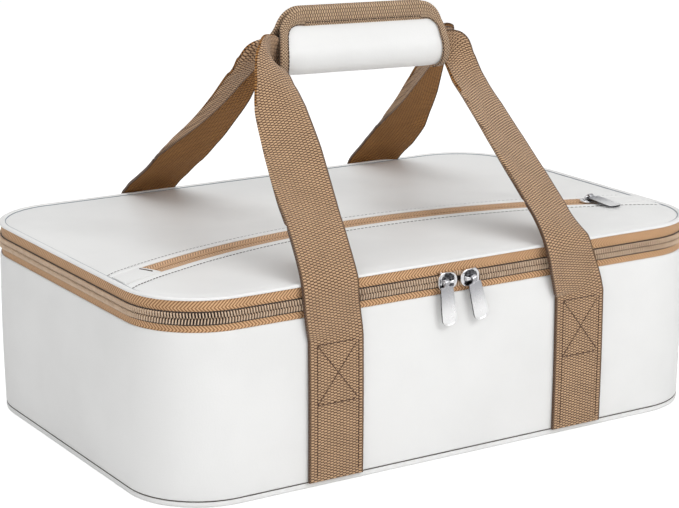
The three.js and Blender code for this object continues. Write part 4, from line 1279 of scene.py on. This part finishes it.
def make_binding(name, face, body, node):
    """A folded tape over both ends and the top edge of one half of the wrap."""
    foot, width, fold = 0.0028, 0.0103, 0.0009
    corner_foot = WRAP_WALK - WRAP_CORNER
    rise_length, turn = corner_foot - foot, WRAP_CORNER * math.pi / 2
    total = 2 * rise_length + 2 * turn + 2 * (GRIP_HALF - WRAP_CORNER)
    cloth = grid(name, 240, 20, total, 2 * width)

    def edge_at(s):
        side = -1
        if s > total / 2:
            s, side = total - s, 1
        if s <= rise_length:
            return side * GRIP_HALF, foot + s, side, 0.0
        if s <= rise_length + turn:
            angle = (s - rise_length) / WRAP_CORNER
            return (side * (GRIP_HALF - WRAP_CORNER + WRAP_CORNER * math.cos(angle)),
                    corner_foot + WRAP_CORNER * math.sin(angle), side * math.cos(angle), math.sin(angle))
        return side * (GRIP_HALF - WRAP_CORNER - (s - rise_length - turn)), WRAP_WALK, 0.0, 1.0

    def place(s, y, z):
        x, walk, nx, nw = edge_at(s)
        w = (abs(y) - fold) * border_share(nw, walk, x)
        if abs(y) > fold:
            lift = math.copysign(0.00125 if w < 0.001 else 0.00155, y)
        else:
            lift = 0.00139 * y / fold
        return on_wrap(x - nx * w, walk - nw * w, lift, face)
    shape_points(cloth, place)
    thicken(cloth, 0.0006, 0)
    dress(cloth, BINDING, body, "tape", node)


def make_cores():
    """The webbing of each loop where it is folded lengthwise inside the grip."""
    fold, bottom = 0.0011, GRIP_Z + CORE_LIFT + 0.0009
    for name, face, body in (("front", -1, "front_handle"), ("back", 1, "back_handle")):
        cloth = grid(name + "_core_webbing", 60, 24, 2 * GRIP_HALF, STRAP_WIDTH)

        def place(x, y, z):
            turn = min(1, abs(y) / fold) * math.pi / 2
            layer = 0.00105 * math.copysign(math.sin(turn), y)
            lift = abs(y) - 0.0005 if abs(y) > fold else fold * (1 - math.cos(turn)) * 0.6
            along = x - GRIP_HALF
            return along, face * CORE_OUT + GRIP_Y + layer, bottom + lift - TILT * along
        shape_points(cloth, place)
        thicken(cloth, 0.0017, 0)
        dress(cloth, WEBBING, body, "webbing", name + "_grip_core")


# Zip rows

def make_turn(name):
    """One turn of a coil: a round bar across the tape, with a lower head over the middle of the chain."""
    length, reach, height = 0.00080, 0.0029, 0.0017
    turn = box((length, reach, height), (0, reach / 2, 0))
    newest(name)
    open_mesh(turn)
    pick(turn, "FACE", lambda face: face.normal.y > 0.9)
    draw_out(0, 0.0003, -0.0009)
    bpy.ops.transform.resize(value=(0.8, 1, 0.35))
    draw_out(0, 0.0004, 0)
    bpy.ops.mesh.select_mode(type="VERT")
    close_mesh()
    return modify(turn, "BEVEL", width=0.00026, segments=1, limit_method="NONE")


def repeat_along(piece, length, pitch):
    modify(piece, "ARRAY", count=max(2, int(length / pitch)), use_relative_offset=False,
           use_constant_offset=True, constant_offset_displace=(pitch, 0, 0))


def make_coil_row(name, length, place, body, node):
    """One side of a zip: turns in a row along X, each laid where place(x, y, z) says."""
    row = make_turn(name)
    repeat_along(row, length, COIL_PITCH)
    shape_points(row, place)
    smooth(face_outward(row), 80)
    dress(row, COIL, body, "teeth", node)


def make_coils():
    """The main zip's rows; the turns slant a little, and the rows part between the two sliders."""
    start, slant, parting = HINGE_HALF + 0.0011, 0.14, 0.009
    for name, side, body, node in (("lower_coil", -1, "bag", "lower_zip_teeth"),
                                   ("upper_coil", 1, "lid", "upper_zip_teeth")):
        def place(x, y, z):
            along = start + x + (COIL_PITCH / 2 if side > 0 else 0) + slant * y
            middle = along - GIRTH / 2
            parted = 0.0017 * math.cos(min(1, abs(middle - ZIP_MEETING) / parting) * math.pi / 2) ** 2
            return on_outline(along, 0.0002 - z, CHAIN + side * (COIL_REACH + parted - y))
        make_coil_row(name, GIRTH - 2 * start, place, body, node)


def make_pocket_coils():
    half, lift = 0.1925, -0.0012
    for name, side, node in (("pocket_coil_rear", 1, "pocket_rear_teeth"),
                             ("pocket_coil_front", -1, "pocket_front_teeth")):
        def place(x, y, z):
            along = x - half + (COIL_PITCH / 2 if side > 0 else 0)
            return on_arc(along, side * (COIL_REACH - y), POCKET_TAPE + lift + z)
        make_coil_row(name, 2 * half, place, "lid", node)


# Sewing

def make_dashes(name, length, place, pitch, size):
    """A row of stitches, length metres of it, each laid where place(along, across, up) says."""
    stitch = box(size, (0, 0, 0))
    newest(name)
    modify(stitch, "BEVEL", width=0.00018, segments=1, limit_method="NONE")
    repeat_along(stitch, length, pitch)
    shape_points(stitch, lambda x, y, z: place(x + pitch / 2, y, z))
    return smooth(face_outward(stitch), 80)


def make_lid_sewing():
    """The seams along the pocket's mouth, and the short bar across its left end."""
    for name, side in (("slot_stitches_rear", 1), ("slot_stitches_front", -1)):
        across = side * (MOUTH + MOUTH_SEAM)
        radius = ARC + across
        reach = radius * math.asin((LENGTH / 2 - RIM_IN - 0.0008) / radius) * ARC / radius

        def place(x, y, z):
            px, py, _ = on_arc(x - reach, across + y, 0)
            return px, py, lid_surface(px, py) + 0.0001 + z
        seam = make_dashes(name, 2 * reach, place, 0.0031, (0.0021, 0.0007, 0.0006))
        dress(seam, SLOT_THREAD, "lid", "leather")
    bar = 0.0104

    def tack(x, y, z):
        px, py, _ = on_arc(-(MOUTH_END + 0.0045) + y, x - bar / 2, 0)
        return px, py, LID_TOP + 0.0001 + z
    dress(make_dashes("bar_tack", bar, tack, 0.0013, (0.0012, 0.0008, 0.0007)), DARK_THREAD, "lid", "leather")


def make_strap_sewing():
    """A box with a cross in it, and the two side seams that go on down to the base."""
    left, right, low, foot, top = -0.0138, 0.0158, 0.0075, 0.0535, 0.0917
    lines = [((left, foot), (right, foot)), ((left, top), (right, top)), ((left, foot), (right, top)),
             ((left, top), (right, foot)), ((left, low), (left, top)), ((right, low), (right, top))]
    for name, face, side, _ in STRAPS:
        rows = []
        for (x0, z0), (x1, z1) in lines:
            way = Vector((x1 - x0, z1 - z0))
            length = way.length
            way.normalize()

            def place(x, y, z):
                u, v = x0 + way.x * x - way.y * y, z0 + way.y * x + way.x * y
                surface = STRAP_WALL + STRAP_THICK * 0.97 + wall_puff(v)
                return foot_x(face, side) + u, face * (surface + 0.00003 + z), v
            rows.append(make_dashes(name + "_seam", length, place, 0.0027, (0.0022, 0.0007, 0.0006)))
        dress(join(name + "_sewing", rows), TAN_THREAD, "bag", "webbing")


def make_grip_sewing():
    """The seam along the inner edge of the wrap's binding, on both halves."""
    inner, foot = 0.0087, 0.002
    corner_foot, corner = WRAP_WALK - WRAP_CORNER, WRAP_CORNER - inner
    rise_length, turn = corner_foot - foot, corner * math.pi / 2
    total = 2 * rise_length + 2 * turn + 2 * (GRIP_HALF - WRAP_CORNER)
    for name, face, body in (("grip_stitches_front", -1, "front_handle"),
                             ("grip_stitches_flap", 1, "grip_flap")):
        def place(x, y, z):
            s, side = (total - x, 1) if x > total / 2 else (x, -1)
            if s <= rise_length:
                w = inner * border_share(0, foot + s, side) + y
                px, walk = side * (GRIP_HALF - w), foot + s
            elif s <= rise_length + turn:
                angle = (s - rise_length) / corner
                w = inner * border_share(math.sin(angle), 1, side) + y
                px = side * (GRIP_HALF - WRAP_CORNER + (WRAP_CORNER - w) * math.cos(angle))
                walk = corner_foot + (WRAP_CORNER - w) * math.sin(angle)
            else:
                px, walk = side * (GRIP_HALF - WRAP_CORNER - (s - rise_length - turn)), WRAP_WALK - inner - y
            return on_wrap(px, walk, 0.00215 + z, face)
        dress(make_dashes(name, total, place, 0.0024, (0.0019, 0.0007, 0.0005)), DARK_THREAD, body, "tape")


# Sliders and pulls, each shaped in its own frame: X along the zip to the nose, Y across, Z out of the tape.
# A pull hangs along -Y from the slider's bar.

def slider_plate(length, half_tail, half_nose, low, high):
    """A plate that narrows to the nose, with round corners."""
    piece = plate("slider_plate", length, 2 * half_tail, (0, 0, low))
    shape_points(piece, lambda x, y, z: (x, y * (half_nose / half_tail if x > 0 else 1), z))
    open_mesh(piece)
    round_corners(0.0049, 8)
    bpy.ops.mesh.select_all(action="SELECT")
    draw_out(0, 0, high - low)
    close_mesh()
    return piece


def raise_top(piece, steps):
    """Insets the top face and lifts it, once for each (inset, lift)."""
    top = max(z for _, _, z in points_of(piece))
    open_mesh(piece)
    pick(piece, "FACE", lambda face: lies_at(face, top))
    for inset, lift in steps:
        bpy.ops.mesh.inset(thickness=inset, depth=0)
        bpy.ops.transform.translate(value=(0, 0, lift))
    bpy.ops.mesh.select_mode(type="VERT")
    close_mesh()


def rod(radius, length):
    """A round bar along X."""
    bpy.ops.mesh.primitive_cylinder_add(vertices=24, radius=radius, depth=length, location=(0, 0, 0),
                                        rotation=(0, math.pi / 2, 0))
    return settle(bpy.context.object)


def make_slider_shape(name, plates):
    """Two plates with rolled side lips, a post between them and an arched crown over the top."""
    inner, outer = plates
    top = outer + PLATE
    front = slider_plate(0.0142, 0.0062, 0.0051, outer, top)
    raise_top(front, [(0.0005, 0.0002), (0.0006, -0.0002), (0.0009, 0.00035), (0.0010, 0.00025)])
    soften(front, 0.00035, 3, 40)
    back = soften(slider_plate(0.0138, 0.0061, 0.0050, inner - 0.0011, inner), 0.00035, 2, 40)
    pieces = [front, back]
    low, high = (0.0011, outer + 0.0002) if plates == MAIN_PLATES else (inner - 0.0002, -0.0003)
    for side in (-1, 1):
        lip = box((0.0085, 0.0008, high - low), (-0.001, side * 0.0054, (low + high) / 2))
        shape_points(lip, lambda x, y, z: (x, y - side * 0.0006 * (x > 0), z))
        pieces.append(modify(lip, "BEVEL", width=0.0002, segments=2))
    pieces.append(box((0.0022, 0.0012, outer - inner), (0.0035, 0, (outer + inner) / 2)))
    pieces.append(make_crown(top, top + BAR_LIFT))
    return smooth(face_outward(join(name, pieces)), 50)


def make_crown(top, bar):
    """A flat bow from tail to nose, drawn in at its middle to the round bar that the pull hangs on."""
    half = 0.0047
    bow = grid("crown", 24, 6)

    def place(x, y, z):
        t = 2 * x - 1
        ends = max(0, (abs(t) - 0.55) / 0.45)
        height = bar - 0.0001 - (bar - top + 0.0004) * ends ** 2.2
        width = 0.0006 + 0.0010 * abs(t) ** 1.5
        return half * t * (1 - 0.06 * ends), 2 * y * width, height + 0.0003 * (1 - (2 * y) ** 2)
    shape_points(bow, place)
    modify(bow, "SOLIDIFY", thickness=0.0009, offset=0)
    return modify(face_outward(bow), "SUBSURF", levels=1, render_levels=1)


def make_eye():
    """The ring at the top of a pull, round the slider's bar."""
    ring, hole = rod(0.0020, 0.0036), rod(0.0011, 0.01)
    modify(ring, "BOOLEAN", object=hole)
    bpy.data.objects.remove(hole)
    return soften(ring, 0.0003, 3, 60)


def make_pull_shape(name):
    """A flat tab with round corners and a raised edge, hanging along -Y from an eye round the bar."""
    span = PULL_TIP - PULL_TOP
    tab = plate(name, 0.0112, span, (0, -PULL_TOP - span / 2, -0.0006))
    open_mesh(tab)
    pick(tab, "EDGE", lambda edge: abs(edge.verts[0].co.x - edge.verts[1].co.x) < 1e-6)
    bpy.ops.mesh.subdivide(number_cuts=4)
    mesh = bmesh.from_edit_mesh(tab.data)
    for point in mesh.verts:
        point.co.x *= 1 - 0.18 * max(0, (point.co.y + PULL_TIP) / span) ** 1.6
    bmesh.update_edit_mesh(tab.data)
    pick(tab, "VERT", lambda point: point.co.y < -PULL_TIP + 0.0001)
    round_corners(0.0042, 5, 0.45)
    pick(tab, "VERT", lambda point: point.co.y > -PULL_TOP - 0.0001)
    round_corners(0.0012, 3)
    bpy.ops.mesh.select_all(action="SELECT")
    bpy.ops.mesh.dissolve_faces()
    bpy.ops.mesh.select_all(action="SELECT")
    draw_out(0, 0, 0.0012)
    close_mesh()
    raise_top(tab, [(0.00022, 0.0001), (0.0004, 0.0), (0.0004, -0.00025)])
    soften(tab, 0.00016, 2, 30)
    eye = make_eye()
    neck = box((0.0036, 0.0016, 0.0011), (0, -0.0022, 0))
    pull = smooth(face_outward(join(name, [tab, eye, neck])), 40)
    return map_cloth(pull, lambda x, y, z: (-y, x))


def stand(piece, along, across, out, spot):
    """Puts a piece shaped in its own frame where that frame lies on the bag."""
    rows = Matrix((along, across, out)).transposed().to_4x4()
    rows.translation = spot
    piece.data.transform(rows)


def shade_dish(slider, spot, out, top):
    """The hollow of a slider's face gets a painted dark reflection: black metal where it would mirror nothing
    bright.
    """
    slider.data.materials.append(PAINTED_DARK_REFLECTION)
    for face in slider.data.polygons:
        off = face.center - spot
        high = off.dot(out)
        flat = (off - out * high).length
        if face.normal.dot(out) > 0.8 and high < top + 0.0009 and flat < 0.0052:
            face.material_index = 1


def shade_edges(pull, out):
    """The cut edge of a pull's plate gets a painted dark reflection."""
    pull.data.materials.append(PAINTED_DARK_REFLECTION)
    layer = cloth_map(pull)
    for face in pull.data.polygons:
        down = sum(layer[i].uv[0] for i in face.loop_indices) / len(face.loop_indices)
        if abs(face.normal.dot(out)) < 0.6 and down > 0.0035:
            face.material_index = 1


def make_hardware():
    right, up, front = Vector((1, 0, 0)), Vector((0, 0, 1)), Vector((0, -1, 0))
    back_face = 0.0023 - WIDTH / 2
    plate_top = MAIN_PLATES[1] + PLATE
    for side, name, turn, aside in ((-1, "left", 7, -0.0031), (1, "right", 15, 0.001)):
        spot = Vector((ZIP_MEETING + side * SLIDER_HALF, back_face, CHAIN))
        slider = make_slider_shape(name + "_slider_body", MAIN_PLATES)
        stand(slider, -side * right, -side * up, front, spot)
        dress(slider, CHROME, name + "_slider", "chrome", name + "_slider")
        shade_dish(slider, spot, front, plate_top)
        pull = make_pull_shape(name + "_pull_tab")
        pull.data.transform(Matrix.Rotation(math.radians(turn), 4, "Z"))
        stand(pull, right, up, front, spot + front * (plate_top + BAR_LIFT) + right * aside)
        dress(pull, SATIN_PAINTED_LIGHT, name + "_pull", "chrome", name + "_pull")
        shade_edges(pull, front)


def make_pocket_hardware():
    """The pocket's slider on the arc, and its pull, which lies back on the lid."""
    up, angle = Vector((0, 0, 1)), POCKET_SLIDER / ARC
    along, out = Vector((math.cos(angle), -math.sin(angle), 0)), Vector((math.sin(angle), math.cos(angle), 0))
    spot = Vector(on_arc(POCKET_SLIDER, 0, POCKET_TAPE))
    plate_top = POCKET_PLATES[1] + PLATE
    bar = plate_top + BAR_LIFT
    slider = make_slider_shape("pocket_slider_body", POCKET_PLATES)
    stand(slider, along, out, up, spot)
    dress(slider, CHROME, "pocket_slider", "chrome", "pocket_slider")
    shade_dish(slider, spot, up, plate_top)
    pull = make_pull_shape("pocket_pull_tab")
    droop = math.asin((bar + POCKET_TAPE - LID_TOP - 0.0009) / PULL_TIP)
    pull.data.transform(Matrix.Rotation(droop, 4, "X") @ Matrix.Rotation(math.radians(24), 4, "Z"))
    stand(pull, along, out, up, spot + up * bar)
    dress(pull, SATIN_PAINTED_LIGHT, "pocket_pull", "chrome", "pocket_pull")
    shade_edges(pull, up)


make_wall()
make_base()
make_base_seam_shade()
make_liner()
make_lid_liner()
make_pocket_lining()
make_tapes()
make_rim()
make_lid_top()
make_pocket_tapes()
make_tabs()
make_hinge_strip()
make_straps()
make_wrap("wrap_front", -1, "front_handle", "grip_wrap_front")
make_wrap("wrap_flap", 1, "grip_flap", "grip_wrap_flap")
make_binding("binding_front", -1, "front_handle", "grip_binding_front")
make_binding("binding_flap", 1, "grip_flap", "grip_binding_flap")
make_cores()
make_grip_pads()
make_patches()
make_coils()
make_pocket_coils()
make_lid_sewing()
make_strap_sewing()
make_grip_sewing()
make_hardware()
make_pocket_hardware()

for part in ("wall_foam", "base_foam", "lid_foam"):
    keep_node(part, FOAM)
keep_node("base_board", BOARD)


# Floor, light and camera

def make_floor():
    floor = plate("studio_floor", 8, 8)
    material = bpy.data.materials.new("Studio floor")
    material.use_nodes = True
    tree = material.node_tree
    shader = tree.nodes["Principled BSDF"]
    shader.inputs["Base Color"].default_value = (0.9, 0.9, 0.9, 1)
    shader.inputs["Roughness"].default_value = 0.9
    shader.inputs["Specular IOR Level"].default_value = 0.0
    shader.inputs["Emission Color"].default_value = (1, 1, 1, 1)
    rays = tree.nodes.new("ShaderNodeLightPath")
    glow = Sums(tree)("MULTIPLY", rays.outputs["Is Camera Ray"], 0.5)
    tree.links.new(glow, shader.inputs["Emission Strength"])
    floor.data.materials.append(material)


def make_world():
    """White behind the bag, a banded studio for the metal to mirror, and even soft light for the rest."""
    world = bpy.data.worlds.new("Studio")
    bpy.context.scene.world = world
    world.use_nodes = True
    tree = world.node_tree
    even = tree.nodes["Background"]
    even.inputs["Color"].default_value = (1, 1, 1, 1)
    even.inputs["Strength"].default_value = 0.45
    white, studio = (tree.nodes.new("ShaderNodeBackground") for _ in range(2))
    white.inputs["Color"].default_value = (1, 1, 1, 1)
    height = split_node(tree, tree.nodes.new("ShaderNodeTexCoord").outputs["Generated"])[2]
    bands = tree.nodes.new("ShaderNodeValToRGB")
    for place, grey in ((0.30, 0.75), (0.44, 0.55), (0.52, 0.30), (0.60, 0.9), (0.72, 0.95), (0.80, 0.7)):
        stop = bands.color_ramp.elements.new(place)
        stop.color = (grey, grey, grey, 1)
    bands.color_ramp.elements[0].color = (0.6, 0.6, 0.6, 1)
    bands.color_ramp.elements[-1].color = (0.8, 0.8, 0.8, 1)
    tree.links.new(ramp(tree, height, -1, 1), bands.inputs["Fac"])
    tree.links.new(bands.outputs["Color"], studio.inputs["Color"])
    studio.inputs["Strength"].default_value = 0.8
    rays = tree.nodes.new("ShaderNodeLightPath")
    mirrored, seen = (tree.nodes.new("ShaderNodeMixShader") for _ in range(2))
    tree.links.new(rays.outputs["Is Glossy Ray"], mirrored.inputs[0])
    tree.links.new(even.outputs[0], mirrored.inputs[1])
    tree.links.new(studio.outputs[0], mirrored.inputs[2])
    tree.links.new(rays.outputs["Is Camera Ray"], seen.inputs[0])
    tree.links.new(mirrored.outputs[0], seen.inputs[1])
    tree.links.new(white.outputs[0], seen.inputs[2])
    tree.links.new(seen.outputs[0], tree.nodes["World Output"].inputs[0])


def add_lamp(name, place, size, power):
    bpy.ops.object.light_add(type="AREA", location=place)
    lamp = bpy.context.object
    lamp.name = name
    lamp.data.size = size
    lamp.data.energy = power
    aim = Vector((0, 0, 0.1)) - Vector(place)
    lamp.rotation_euler = aim.to_track_quat("-Z", "Y").to_euler()


def add_camera():
    azimuth, elevation = math.radians(-31.99), math.radians(14.58)
    target, distance = Vector((-0.00323, 0, 0.1033)), 1.41185
    back = Vector((math.sin(azimuth) * math.cos(elevation), -math.cos(azimuth) * math.cos(elevation),
                   math.sin(elevation)))
    bpy.ops.object.camera_add(location=target + back * distance)
    camera = bpy.context.object
    camera.rotation_euler = (-back).to_track_quat("-Z", "Y").to_euler()
    focal_px, picture_px, sensor = 2064.46, 679, 36
    camera.data.sensor_width = sensor
    camera.data.lens = focal_px * sensor / picture_px
    camera.data.clip_start = 0.05
    bpy.context.scene.camera = camera


make_floor()
make_world()
add_lamp("key", (0.5, -1.75, 1.3), 1.2, 19.3)
add_lamp("fill", (-1.7, -1.2, 0.85), 1.4, 7.6)
add_lamp("top", (-0.2, 0.3, 2.0), 1.8, 13.5)
add_camera()
bpy.context.scene.view_settings.view_transform = "Standard"
